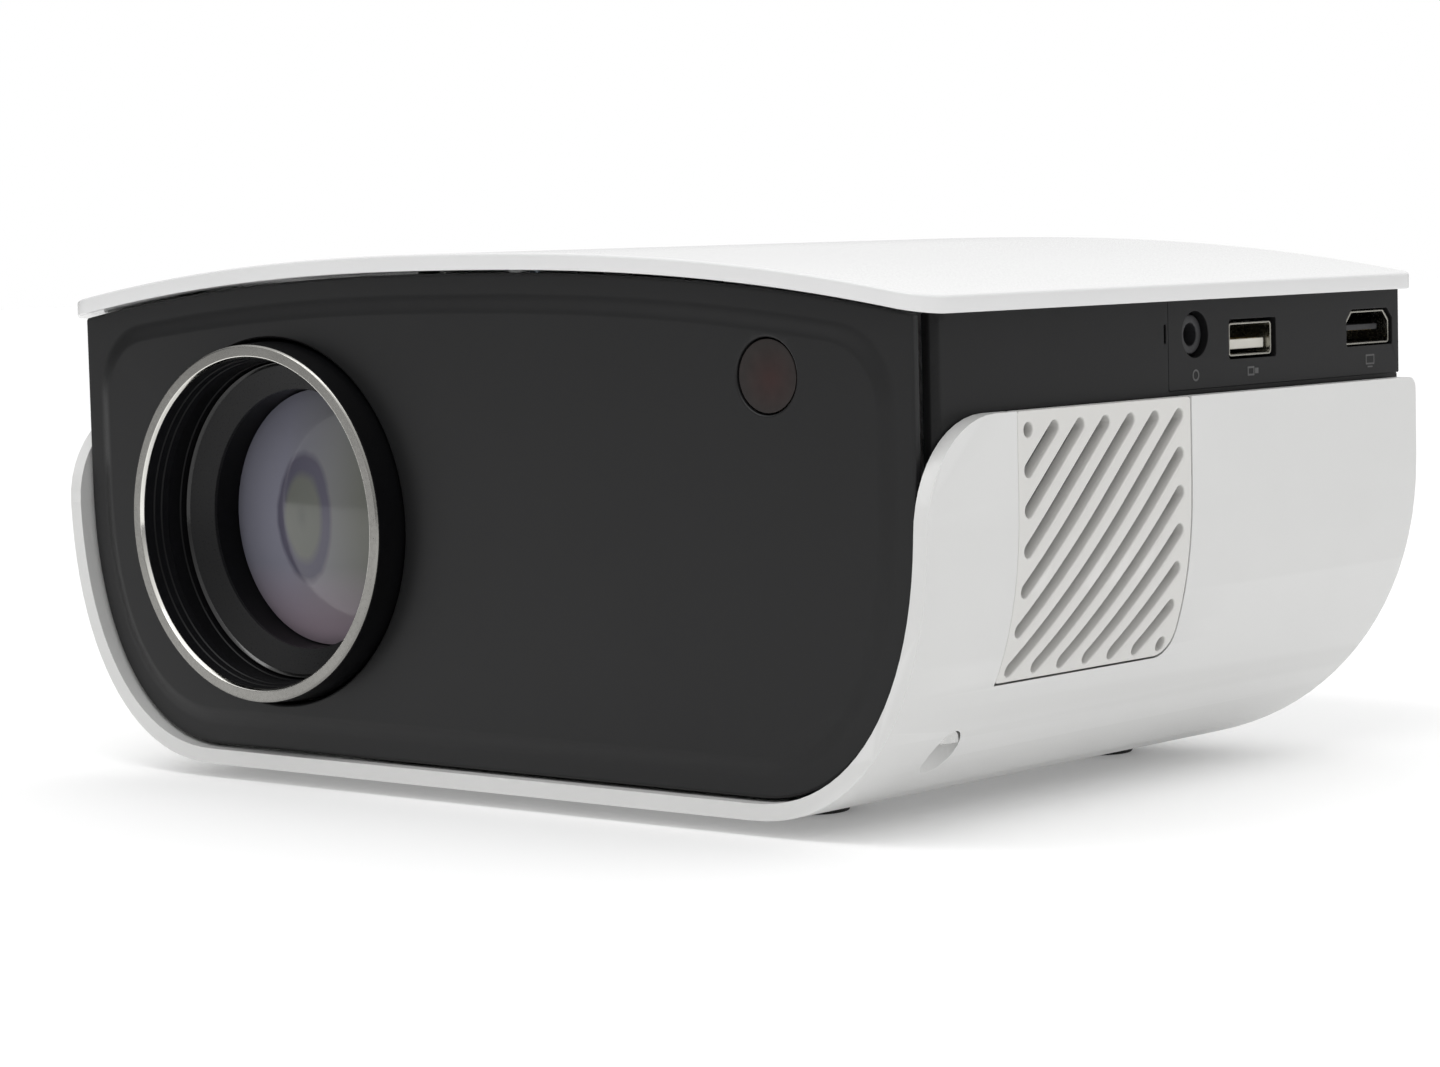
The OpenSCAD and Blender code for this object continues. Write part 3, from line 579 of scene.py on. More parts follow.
def board(name, color):
    """Circuit board with solder mask over a woven laminate and pale traces."""
    n = Nodes(name)
    s = n.shader.inputs
    traces = n.new("ShaderNodeTexBrick", Scale=260.0)
    traces.inputs["Mortar Size"].default_value = 0.012
    n.link(n.where, traces.inputs["Vector"])
    traces.inputs["Color1"].default_value = rgba(color)
    traces.inputs["Color2"].default_value = rgba(shade(color, 0.8))
    traces.inputs["Mortar"].default_value = rgba(shade(color, 2.2))
    mask = n.mix(n.ramp(n.noise(40), 0, 0.5), traces.outputs["Color"], rgba(shade(color, 0.7)))
    n.link(mask, s["Base Color"])
    weave = n.noise(3000, 2.0)
    n.link(n.ramp(weave, 0.3, 0.45), s["Roughness"])
    n.link(n.bump(weave, 0.01 * MM), s["Normal"])
    return n.material


MATERIALS = {
    "white_shell": plastic("white_shell", (0.652, 0.652, 0.643), 0.34, vary=0.015),
    "white_grille": plastic("white_grille", (0.662, 0.655, 0.634), 0.36, vary=0.015),
    "white_cover": plastic(
        "white_cover", (0.72, 0.72, 0.72), 0.2, vary=0.01, coat=0.4, grain_depth=0.001
    ),
    "white_key": plastic("white_key", (0.78, 0.78, 0.78), 0.26, vary=0.01),
    "black_panel": plastic(
        "black_panel", (0.010, 0.010, 0.0104), 0.36,
        grain=4200, grain_depth=0.005, vary=0.05, gloss=0.27,
    ),
    "black_body": plastic(
        "black_body", (0.010, 0.010, 0.0104), 0.36,
        grain=4200, grain_depth=0.004, vary=0.06, gloss=0.155,
    ),
    "lens_black": plastic(
        "lens_black", (0.004, 0.004, 0.0045), 0.32,
        grain=11000, grain_depth=0.0001, vary=0.1, gloss=0.12,
    ),
    "engine_black": plastic(
        "engine_black", (0.018, 0.018, 0.020), 0.5, grain=1800, grain_depth=0.01, vary=0.1
    ),
    "chip_black": plastic("chip_black", (0.028, 0.028, 0.030), 0.55, grain=2600, vary=0.1),
    "baffle_grey": plastic(
        "baffle_grey", (0.013, 0.013, 0.0135), 0.3, grain_depth=0.001, vary=0.08, gloss=0.17
    ),
    "rubber": plastic(
        "rubber", (0.015, 0.015, 0.015), 0.75, grain=1600, grain_depth=0.02, vary=0.15
    ),
    "tongue_white": plastic("tongue_white", (0.62, 0.60, 0.53), 0.4),
    "black_gloss": plastic("black_gloss", (0.006, 0.006, 0.006), 0.14, grain_depth=0.0001),
    "led_yellow": plastic("led_yellow", (0.78, 0.60, 0.10), 0.5, grain=1500, vary=0.12),
    "ribbon_orange": plastic("ribbon_orange", (0.55, 0.22, 0.03), 0.3, grain=900, vary=0.15),
    "ir_filter": ir_filter("ir_filter"),
    "bright_ring": metal("bright_ring", (0.27, 0.265, 0.25), 0.22, depth=0.0006),
    "polished_lip": metal("polished_lip", (0.74, 0.73, 0.69), 0.1, depth=0.001),
    "nickel": metal("nickel", (0.33, 0.32, 0.285), 0.24),
    "print_grey": plastic("print_grey", (0.085, 0.085, 0.085), 0.5, grain_depth=0.001, gloss=0.25),
    "steel": metal("steel", (0.58, 0.58, 0.57), 0.28),
    "brass": metal("brass", (0.72, 0.52, 0.22), 0.3),
    "aluminium": metal("aluminium", (0.70, 0.70, 0.71), 0.36),
    "copper": metal("copper", (0.78, 0.36, 0.20), 0.3),
    "mirror": metal("mirror", (0.92, 0.92, 0.93), 0.03, depth=0.0002, vary=0.01),
    "lens_glass": glass("lens_glass", (0.96, 0.97, 1.0), coating=(0.75, 0.72, 1.0)),
    "front_glass": glass_with_painted_reflections("front_glass"),
    "lcd_glass": glass("lcd_glass", (0.25, 0.25, 0.32), rough=0.05),
    "polarizer_film": glass("polarizer_film", (0.35, 0.38, 0.36), rough=0.05),
    "led_clear": glass("led_clear", (0.75, 0.86, 1.0), rough=0.1),
    "board_green": board("board_green", (0.02, 0.10, 0.045)),
}

# ---------- carried-over CAD nodes ----------

# Edge rounding of the carried-over nodes and of the shell's front rim, in millimetres
SOFTEN = {"rear_panel": 0.3, "lower_shell": 0.6}
SOFTEN_OTHERS = 0.15
RIM_NOSE = 1.05


def carry(node, slot):
    """Keeps a CAD node, with its material, softened edges and even shading."""
    obj = frame["nodes"][node]
    obj.data.materials.clear()
    obj.data.materials.append(MATERIALS[slot])
    for i in range(len(obj.data.polygons)):
        obj.data.polygons[i].material_index = 0
    old = obj.data.attributes.get("custom_normal")
    if old:
        obj.data.attributes.remove(old)
    obj.data.polygons.foreach_set("use_smooth", [True] * len(obj.data.polygons))
    weld = obj.modifiers.new("weld", "WELD")
    weld.merge_threshold = 1e-6
    flat = obj.modifiers.new("flatten", "DECIMATE")
    flat.decimate_type, flat.angle_limit = "DISSOLVE", math.radians(0.3)
    if node == "lower_shell":
        rim = obj.vertex_groups.new(name="rim")
        foremost = [v.index for v in obj.data.vertices if v.co.y < (RIM_Y + 0.05) * MM]
        rim.add(foremost, 1.0, "REPLACE")
        nose = obj.modifiers.new("rim_nose", "BEVEL")
        nose.width, nose.segments = RIM_NOSE * MM, 5
        nose.limit_method, nose.vertex_group = "VGROUP", "rim"
    bevel = obj.modifiers.new("soften", "BEVEL")
    bevel.width, bevel.segments = SOFTEN.get(node, SOFTEN_OTHERS) * MM, 2
    bevel.limit_method, bevel.angle_limit = "ANGLE", math.radians(38)
    bevel.harden_normals = False
    weigh = obj.modifiers.new("weighted", "WEIGHTED_NORMAL")
    weigh.keep_sharp = True


SLOT_OF = {part["node"]: part["material_slot"] for part in frame["record"]["subparts"]}
for cad_node, cad_slot in SLOT_OF.items():
    carry(cad_node, cad_slot)

# ---------- front panel ----------

# Thickness of the panel, and how far its flat band stands behind the padded middle
PANEL_T, BAND_STEP = 3.8, 0.75
# Distance of its outline from the shell's outer side, from its underside and from the cover
PANEL_SIDE, PANEL_FLOOR, PANEL_TOP = 3.6, 3.15, 0.5


def body_outline(inset, rise, drop, top_r, corner_steps=40, arch_steps=64):
    """Section of the dark body, with its distances from the shell's side and floor and from the
    cover, and rounded top corners."""
    right = [Vector(corner_point(a, inset, rise)) for a in quarter(corner_steps)]
    wall_x = HALF_W - inset
    xc = wall_x - top_r
    xt = wall_x
    for _ in range(6):
        slope = (arch_z(xt + 0.01) - arch_z(xt - 0.01)) / 0.02
        lean = math.atan(-slope)
        xt = min(wall_x, xc + top_r * math.sin(lean))
    zc = arch_z(xt) - drop - top_r * math.cos(lean)
    fan = [
        Vector((xc + top_r * math.cos(a), zc + top_r * math.sin(a)))
        for a in [(math.pi / 2 - lean) * k / 12 for k in range(13)]
    ]
    top = [
        Vector((xt - 2 * xt * k / arch_steps, arch_z(xt - 2 * xt * k / arch_steps) - drop))
        for k in range(1, arch_steps)
    ]
    left = [Vector((-p.x, p.y)) for p in fan[::-1]]
    left_corner = [Vector((-p.x, p.y)) for p in right]
    # counter-clockwise: up the right wall, over the arch, down the left and along the floor
    return right[::-1] + fan + top + left + left_corner


def front_panel():
    """The panel: a flat band round a padded middle that swells forward."""
    pad_y, back_y = PANEL_LOW.y, PANEL_LOW.y + PANEL_T
    band_y = pad_y + BAND_STEP
    soft = 0.5
    shape = Shape()
    # rings from back to front: distance from the edge, depth, radius of the top corners
    rings = [(1.6, back_y, 0.4), (1.5, band_y + 1.45, 0.4)]
    rings += [(0, band_y + 1.4, 0.4), (0, band_y + soft, 0.4)]
    rings += [
        (soft * (1 - math.cos(a)), band_y + soft * (1 - math.sin(a)), 0.5) for a in (0.4, 0.8, 1.2)
    ]
    rings += [(soft, band_y, 0.8), (3.1, band_y, 11.8)]
    last = 12
    for k in range(last + 1):
        t = k / last
        rise = t * t * (3 - 2 * t)
        rings.append((3.3 + 3.2 * t, band_y + (pad_y - band_y) * rise, 12 - 1.5 * t))
    made = []
    for inset, y, r in rings:
        loop = body_outline(PANEL_SIDE + inset, PANEL_FLOOR + inset, PANEL_TOP + inset, r)
        made.append((loop, shape.ring([(p.x, y, p.y) for p in loop])))
    shape.skin([ring for _, ring in made])
    fronts, backs = [made[-1]], [made[0]]
    hole_r = (PANEL_HOLE_R, IR_R + 0.25)
    for (cx, cz, r, collar) in ((LENS_X, LENS_Z, hole_r[0], 3.0), (IR_X, IR_Z, hole_r[1], 0)):
        n = 144 if collar else 64
        soft = 0.5 if collar else 0.35
        profile = [
            (r + soft * (1 - math.sin(a)), pad_y + soft * (1 - math.cos(a)))
            for a in quarter(5)
        ]
        if collar:
            profile += [(r, back_y + collar), (r + 2, back_y + collar), (r + 2, back_y)]
        else:
            profile += [(r, back_y)]
        hole = []
        for radius, y in profile:
            loop = circle(cx, cz, radius, n)[::-1]
            hole.append((loop, shape.ring([(p.x, y, p.y) for p in loop])))
        shape.skin([ring for _, ring in hole])
        fronts.append(hole[0])
        backs.append(hole[-1])
    for group in (fronts, backs):
        index = [i for _, ring in group for i in ring]
        for face in fill([loop for loop, _ in group]):
            shape.faces.append(tuple(index[i] for i in face))
    build("padded_front", shape, "root", "black_panel", ["front_panel"], sharp=50)


# ---------- cover ----------


def tube(shape, cx, cy, r, bore, z0, z1, n=32):
    """A post with an optional blind bore from below, as its own closed skin."""
    rims = [(r, z1), (r, z0 + 0.2), (r - 0.2, z0)]
    if bore:
        rims += [(bore, z0), (bore, z0 + bore * 7)]
    rings = [shape.ring([(p.x, p.y, z) for p in circle(cx, cy, radius, n)]) for radius, z in rims]
    shape.skin(rings)
    shape.cap(rings[0])
    shape.cap(rings[-1])


def node_axis(node):
    low, high = low_high(node)
    return (low.x + high.x) / 2, (low.y + high.y) / 2


KEYS = ("key_ok", "key_up", "key_down", "key_left", "key_right")
KEY_R, POWER_R = 4.4, 5.6
KEY_DISH, MARK_RISE = 0.35, 0.06
COVER_FRONT_R, COVER_REAR_R = 6.0, 2.5
# Posts under the cover, in X and Y: for the case screws, round the OK key and counted from it,
# and on the main board
SCREW_POSTS = ((83.0, 17.5), (46.0, 127.0))
KEY_POSTS = ((-20, -26), (-20, 22), (20, -26), (20, 22))
BOARD_POSTS = ((46, 72), (46, 116), (84, 81), (84, 108))


def top_cover():
    front, rear = COVER_FRONT_R, COVER_REAR_R
    plan = fillet(
        [(-HALF_W, 0, front), (HALF_W, 0, front), (HALF_W, BODY_D, rear), (-HALF_W, BODY_D, rear)],
        10,
    )
    plan = dense(plan, 2.5)
    holes = [circle(*node_axis(k), KEY_R + 0.3) for k in KEYS]
    holes.append(circle(*node_axis("power_button"), POWER_R + 0.3))
    holes.append(circle(*node_axis("status_led"), 1.1, 24))
    grid = grid_points((-HALF_W, 0), (HALF_W, BODY_D), 96, 24)
    rim = offset(plan, 1.0)
    rings = [offset(clockwise(h), 0.9) for h in holes]
    grid = [p for p in grid if inside(p, rim) and not any(inside(p, h) for h in rings)]

    def place(x, y, depth):
        return (x, y, arch_z(x) + COVER_T - depth)

    shape = plate(
        plan, holes, place, COVER_T, edge=0.45, back_edge=0.25, steps=5, extra=grid
    )
    post_foot = low_high("case_screws")[0].z + 14.4
    for x, y in SCREW_POSTS:
        for s in (-1, 1):
            tube(shape, s * x, y, 4, 1.55, post_foot, arch_z(x) + 1)
    key_board_top = low_high("key_board")[1].z
    kx, ky = node_axis("key_ok")
    for dx, dy in KEY_POSTS:
        tube(shape, kx + dx, ky + dy, 2.2, 0, key_board_top, arch_z(kx + dx) + 1, 20)
    main_board_top = low_high("main_board")[1].z
    for x, y in BOARD_POSTS:
        tube(shape, x, y, 2.4, 0, main_board_top, arch_z(x) + 1, 20)
    build("arched_cover", shape, "root", "white_cover", ["top_cover"], sharp=50)


# ---------- keys ----------


def key(node, name, r):
    """A key cap with a dished top that follows the arch, on its flange and stem."""
    cx, cy = node_axis(node)
    low, _ = low_high(node)
    under = arch_z(cx) - 1.1
    soft, flange_r, flange_t, stem_r = 0.5, r + 1.1, 1.2, 1.6
    # radius, height, and whether the height counts from the cover's arched top
    profile = [
        (r * t, 0.02 - KEY_DISH * (1 - t * t), True) for t in (0, 0.15, 0.3, 0.45, 0.6, 0.75)
    ]
    profile += [
        (r - soft + soft * math.sin(a), -soft * (1 - math.cos(a)), True)
        for a in quarter(5)
    ]
    profile += [(r, under - 0.5, False), (r, under, False), (flange_r, under, False)]
    profile += [(flange_r, under - flange_t, False), (stem_r, under - flange_t, False)]
    profile += [(stem_r, low.z, False), (0, low.z, False)]
    flat = {}
    rows = []
    for i, (radius, z, on_top) in enumerate(profile):
        rows.append((radius, i))
        flat[i] = (z, on_top)

    def place(radius, angle, i):
        x, y = cx + radius * math.cos(angle), cy + radius * math.sin(angle)
        z, on_top = flat[i]
        return (x, y, (arch_z(x) + COVER_T + z) if on_top else z)

    build(name, lathe(rows, place, 64, closed=False), node, "white_key", [node], sharp=50)


def mark(name, body, loops, place, slot="chip_black", thick=0.08, look=None):
    """Thin printed mark, proud of the surface it lies on. loops is a list of (outer, holes)."""
    whole = Shape()
    for outer, holes in loops:
        join(whole, plate(outer, holes, place, thick, edge=0.02, hole_edge=0.02, steps=1))
    build(name, whole, body, slot, merge=1e-7, look=look)


def on_key(cx, cy, r):
    """Place for a mark on the dished top of a key."""

    def place(u, v, depth):
        x = cx + u
        t = min(1.0, math.hypot(u, v) / r)
        return (x, cy + v, arch_z(x) + COVER_T + MARK_RISE - KEY_DISH * (1 - t * t) - depth)

    return place


def arc_band(outer_r, inner_r, start, end, steps):
    """Loop round a broken ring, from one angle in degrees to another."""
    angles = [math.radians(start + (end - start) * k / steps) for k in range(steps + 1)]
    return fillet(
        [(outer_r * math.cos(a), outer_r * math.sin(a), 0) for a in angles]
        + [(inner_r * math.cos(a), inner_r * math.sin(a), 0) for a in angles[::-1]]
    )


def key_marks():
    """Arrows, a ring and a bar in a broken ring: generic signs, no lettering."""
    for node, turn in (("key_up", 90), ("key_down", -90), ("key_left", 180), ("key_right", 0)):
        cx, cy = node_axis(node)
        a = math.radians(turn)

        def spin(u, v, a=a):
            return Vector((u * math.cos(a) - v * math.sin(a), u * math.sin(a) + v * math.cos(a)))

        corners = [spin(1.5, 0), spin(-0.9, 1.4), spin(-0.9, -1.4)]
        loop = fillet([(p.x, p.y, 0.25) for p in corners], 3)
        mark("arrow_mark_" + node[4:], node, [(loop, [])], on_key(cx, cy, KEY_R))
    for node, r, parts in (
        ("key_ok", KEY_R, [(circle(0, 0, 1.7, 40), [circle(0, 0, 1.3, 40)])]),
        (
            "power_button",
            POWER_R,
            [
                (arc_band(2.1, 1.65, 125, 415, 28), []),
                (slot_loop((0, 0.7), (0, 2.3), 0.45), []),
            ],
        ),
    ):
        mark("round_mark_" + node[:5].strip("_"), node, parts, on_key(*node_axis(node), r))


# ---------- side grilles ----------


def wall_point(z, depth):
    """(x, z) on the shell's side at a height, moved inwards by a depth."""
    top = BASE_Z + CORNER_RZ
    if z >= top:
        return HALF_W - depth, z

    def surface(height):
        s = min(1.0, max(0.0, (top - height) / CORNER_RZ)) ** (CORNER_N / 2)
        return HALF_W - CORNER_RX + CORNER_RX * math.cos(math.asin(s)) ** (2 / CORNER_N)

    slope = (surface(z + 0.02) - surface(z - 0.02)) / 0.04
    away = Vector((1, -slope)).normalized()
    return surface(z) - away.x * depth, z - away.y * depth


def grille(name, node, sign):
    """Insert in the shell's side, with diagonal slots that shrink to a dot in two corners."""
    low, high = low_high(node)
    y0, y1, z0, z1 = low.y, high.y, low.z, high.z
    outer = fillet([(y0, z0, 0.8), (y1, z0, 4), (y1, z1, 0.8), (y0, z1, 0.8)], 6)
    outer = dense(outer, 1.5)
    count, width = 7, 2.3
    step_y, step_z = (y1 - y0 - 6.0) / (count - 1), (z1 - z0 - 4.9) / (count - 1)
    first_y, first_z = y0 + 2.8, z1 - 2.9
    holes, last = [], count - 1
    for k in range(2 * last + 1):
        a = (max(0, k - last), min(k, last))
        b = (min(k, last), max(0, k - last))
        p = (first_y + a[0] * step_y, first_z - a[1] * step_z)
        q = (first_y + b[0] * step_y, first_z - b[1] * step_z)
        if a == b:
            holes.append(circle(*p, width / 2, 24))
            continue
        holes.append(dense(slot_loop(p, q, width, 10), 2))
    rim = offset(outer, 0.8)
    pads = [offset(clockwise(h), 0.6) for h in holes]
    grid = grid_points((y0, z0), (y1, z1), 26, 24)
    grid = [p for p in grid if inside(p, rim) and not any(inside(p, h) for h in pads)]

    def place(y, z, depth):
        x, height = wall_point(z, depth + 0.05)
        return (sign * x, y, height)

    shape = plate(outer, holes, place, 2.3, edge=0.25, hole_edge=0.3, steps=4, extra=grid)
    build(name, shape, "root", "white_grille", [node], sharp=50)


# ---------- dark side walls, port plate and sockets ----------

SIDE_DEPTH = SHELL_T + GAP
SIDE_LOW, SIDE_HIGH = low_high("right_side_panel")
PLATE_LOW, PLATE_HIGH = low_high("port_plate")
SIDE_FRONT = 6.2
# Rounding of the wall's front edge, how far it goes in, and the heights of the latch slot's ends
SIDE_ROLL, SIDE_ROLL_IN = 1.3, 1.1
LATCH_LOW, LATCH_HIGH = 72.1, 74.6


def against_wall(sign, depth):
    """Place for a plate that lies inside the shell's side."""

    def place(y, z, more):
        x, height = wall_point(z, depth + more)
        return (sign * x, y, height)

    return place


def grid_in(low, high, step, loops):
    """Points spread over a rectangle, clear of its loops."""
    counts = [round((high[k] - low[k]) / step) for k in (0, 1)]
    points = grid_points(low, high, *counts)
    return [p for p in points if not any(inside(p, lp) for lp in loops)]


def side_wall(name, node, sign):
    """Thin dark wall with a rolled front edge; on the right it stops at the port plate and runs on
    below it."""
    shape = Shape()

    def place(y, z, more):
        into = max(0.0, SIDE_FRONT + SIDE_ROLL - y)
        deep = SIDE_ROLL - math.sqrt(max(0.0, SIDE_ROLL * SIDE_ROLL - into * into))
        x, height = wall_point(z, SIDE_DEPTH + more + min(deep, SIDE_ROLL_IN))
        return (sign * x, y, height)

    rear = PLATE_LOW.y - 0.06 if sign > 0 else SIDE_HIGH.y
    low, high = (SIDE_FRONT, SIDE_LOW.z), (rear, SIDE_HIGH.z)
    slots = []
    if sign > 0:
        slot_y = PLATE_LOW.y - 0.9
        slots = [slot_loop((slot_y, LATCH_LOW), (slot_y, LATCH_HIGH), 0.6, 6)]
    outer = dense(box_loop(low, high, 0.2, 2), 1.5)
    clear = [offset(lp[::-1], -0.5) for lp in slots]
    inner = [p for p in grid_in(low, high, 2, clear) if p.x > low[0] + 3.4]
    # a finer grid where the front edge rolls in
    inner += [
        Vector((low[0] + 0.35 * i, z))
        for i in range(1, 10)
        for z in [low[1] + (high[1] - low[1]) * j / 24 for j in range(1, 24)]
    ]
    join(shape, plate(outer, slots, place, 1.2, edge=0.1, hole_edge=0.08, extra=inner))
    if sign > 0:
        low, high = (rear - 1.0, SIDE_LOW.z), (SIDE_HIGH.y, PLATE_LOW.z - 0.03)
        outer = dense(box_loop(low, high, 0.3, 3), 2)
        ledge = against_wall(sign, SIDE_DEPTH + 0.4)
        join(shape, plate(outer, [], ledge, 1.2, edge=0.05, extra=grid_in(low, high, 2, [])))
        low, high = (rear - 1.0, PLATE_LOW.z - 4), (SIDE_HIGH.y - 0.2, PLATE_LOW.z + 3)
        lining = against_wall(sign, SIDE_DEPTH + 2.5)
        join(shape, plate(box_loop(low, high), [], lining, 0.8, edge=0.1))
    build(name, shape, "root", "black_body", [node], sharp=50)


def hdmi_loop(cy, cz, w, h, r=0.35):
    """Rectangle with its two upper corners cut off."""
    cut = 3.4
    corners = [(-w, -h), (w, -h), (w, h - cut), (w - cut, h), (cut - w, h), (-w, h - cut)]
    return fillet([(cy + u / 2, cz + v / 2, r) for u, v in corners], 4)


def facing_right(front):
    """Place for a plate that looks along +X, its front face at this x."""
    return lambda y, z, depth: (front - depth, y, z)


def centre_of(node):
    low, high = low_high(node)
    return (low.y + high.y) / 2, (low.z + high.z) / 2


def on_tongue(level, rise):
    """Place for a contact strip on a socket's tongue, above it (rise 1) or below it (rise -1)."""
    return lambda v, x, depth: (x, v, level - depth * rise)


def ports():
    face = PLATE_HIGH.x
    jack_low, jack_high = low_high("av_jack")
    jack = ((jack_low.y + jack_high.y) / 2, jack_high.z - 3.5)
    usb, hdmi = centre_of("usb_socket"), centre_of("hdmi_socket")
    holes = [
        circle(*jack, 3.7, 56),
        box_loop((usb[0] - 6.9, usb[1] - 3.2), (usb[0] + 6.9, usb[1] + 3.2), 0.5),
        hdmi_loop(*hdmi, 14.6, 6.2, 0.4),
    ]
    outer = box_loop((PLATE_LOW.y, PLATE_LOW.z), (PLATE_HIGH.y, PLATE_HIGH.z), 0.3)
    thick = PLATE_HIGH.x - PLATE_LOW.x
    flat = plate(outer, holes, facing_right(face), thick, edge=0.1, hole_edge=0.12)
    build("socket_plate", flat, "root", "black_body", ["port_plate"], sharp=50)
    # radii of the jack's bore and nose, and where the bore ends, the tip is and the nose ends
    bore_r, nose_r, bore_end, tip, nose_end = 1.8, 3.15, 84, 91.15, 80
    nose = fillet(
        [
            (0, bore_end, 0),
            (bore_r, bore_end, 0),
            (bore_r, tip, 0.25),
            (nose_r, tip, 0.25),
            (nose_r, nose_end, 0),
            (0, nose_end, 0),
        ],
        4,
        False,
    )
    build(
        "jack_nose", lathe(nose, sideways(*jack), 72, closed=False), "root",
        SLOT_OF["av_jack"], ["av_jack"], sharp=50,
    )
    # folded metal shells, open to the right
    for name, node, outline, inner, depth in (
        (
            "usb_shell", "usb_socket",
            box_loop((usb[0] - 6.35, usb[1] - 2.8), (usb[0] + 6.25, usb[1] + 2.65), 0.7, 6),
            box_loop((usb[0] - 6.0, usb[1] - 2.45), (usb[0] + 5.9, usb[1] + 2.3), 0.4, 6), 13.5,
        ),
        (
            "hdmi_shell", "hdmi_socket",
            hdmi_loop(*hdmi, 14.0, 5.7, 0.5),
            hdmi_loop(*hdmi, 13.3, 5.0, 0.3), 12,
        ),
    ):
        mouth = facing_right(face - 0.45)
        shell = plate(outline, [inner], mouth, depth, edge=0.12, hole_edge=0.12, steps=3)
        back = plate(inner, [], facing_right(face - 0.45 - depth), 0.4, edge=0.05, steps=1)
        join(shell, back)
        build(name, shell, "root", SLOT_OF[node], [node], sharp=45, look="nickel")
    strips = Shape()
    for node, pitch, count, width, rise in (
        ("usb_tongue", 2.5, 4, 1.1, 1),
        ("hdmi_tongue", 1.0, 9, 0.5, -1),
    ):
        low, high = low_high(node)
        middle = (low.y + high.y) / 2
        level = high.z + 0.06 if rise > 0 else low.z - 0.06
        for k in range(count):
            y = middle + (k - (count - 1) / 2) * pitch
            strip = box_loop((y - width / 2, high.x - 8), (y + width / 2, high.x - 0.5), 0.15, 2)
            join(strips, plate(strip, [], on_tongue(level, rise), 0.1, 0.03, steps=1))
    build("socket_contacts", strips, "root", "brass")
    # generic signs under the sockets: a ring, a plug and a screen
    place = facing_right(face + 0.05)
    row = PLATE_LOW.z + 2.2
    y = usb[0]
    mark(
        "socket_marks", "root",
        [
            (circle(jack[0], row, 0.95, 32), [circle(jack[0], row, 0.65, 32)]),
            (box_loop((y - 1.7, row - 0.75), (y + 0.3, row + 0.75), 0.1, 2),
             [box_loop((y - 1.4, row - 0.45), (y, row + 0.45), 0.05, 2)]),
            (box_loop((y + 0.5, row - 0.45), (y + 1.5, row + 0.45), 0.05, 2), []),
            (box_loop((hdmi[0] - 1.4, row - 0.5), (hdmi[0] + 1.4, row + 1.2), 0.15, 2),
             [box_loop((hdmi[0] - 1.12, row - 0.22), (hdmi[0] + 1.12, row + 0.92), 0.05, 2)]),
            (box_loop((hdmi[0] - 0.8, row - 1.0), (hdmi[0] + 0.8, row - 0.75), 0.05, 2), []),
        ],
        place, slot="black_body", look="print_grey",
    )


# ---------- lens ----------

PANEL_HOLE_R = 30.8
IR_R = (IR_HIGH.x - IR_LOW.x) / 2 - 1.2


def turned(name, corners, body, slot, replaces=(), steps=4, sharp=50, look=None):
    """Ring turned about the lens axis from (radius, depth, rounding) corners."""
    shape = lathe(fillet(corners, steps), about_lens, 192)
    build(name, shape, body, slot, replaces, sharp=sharp, look=look)


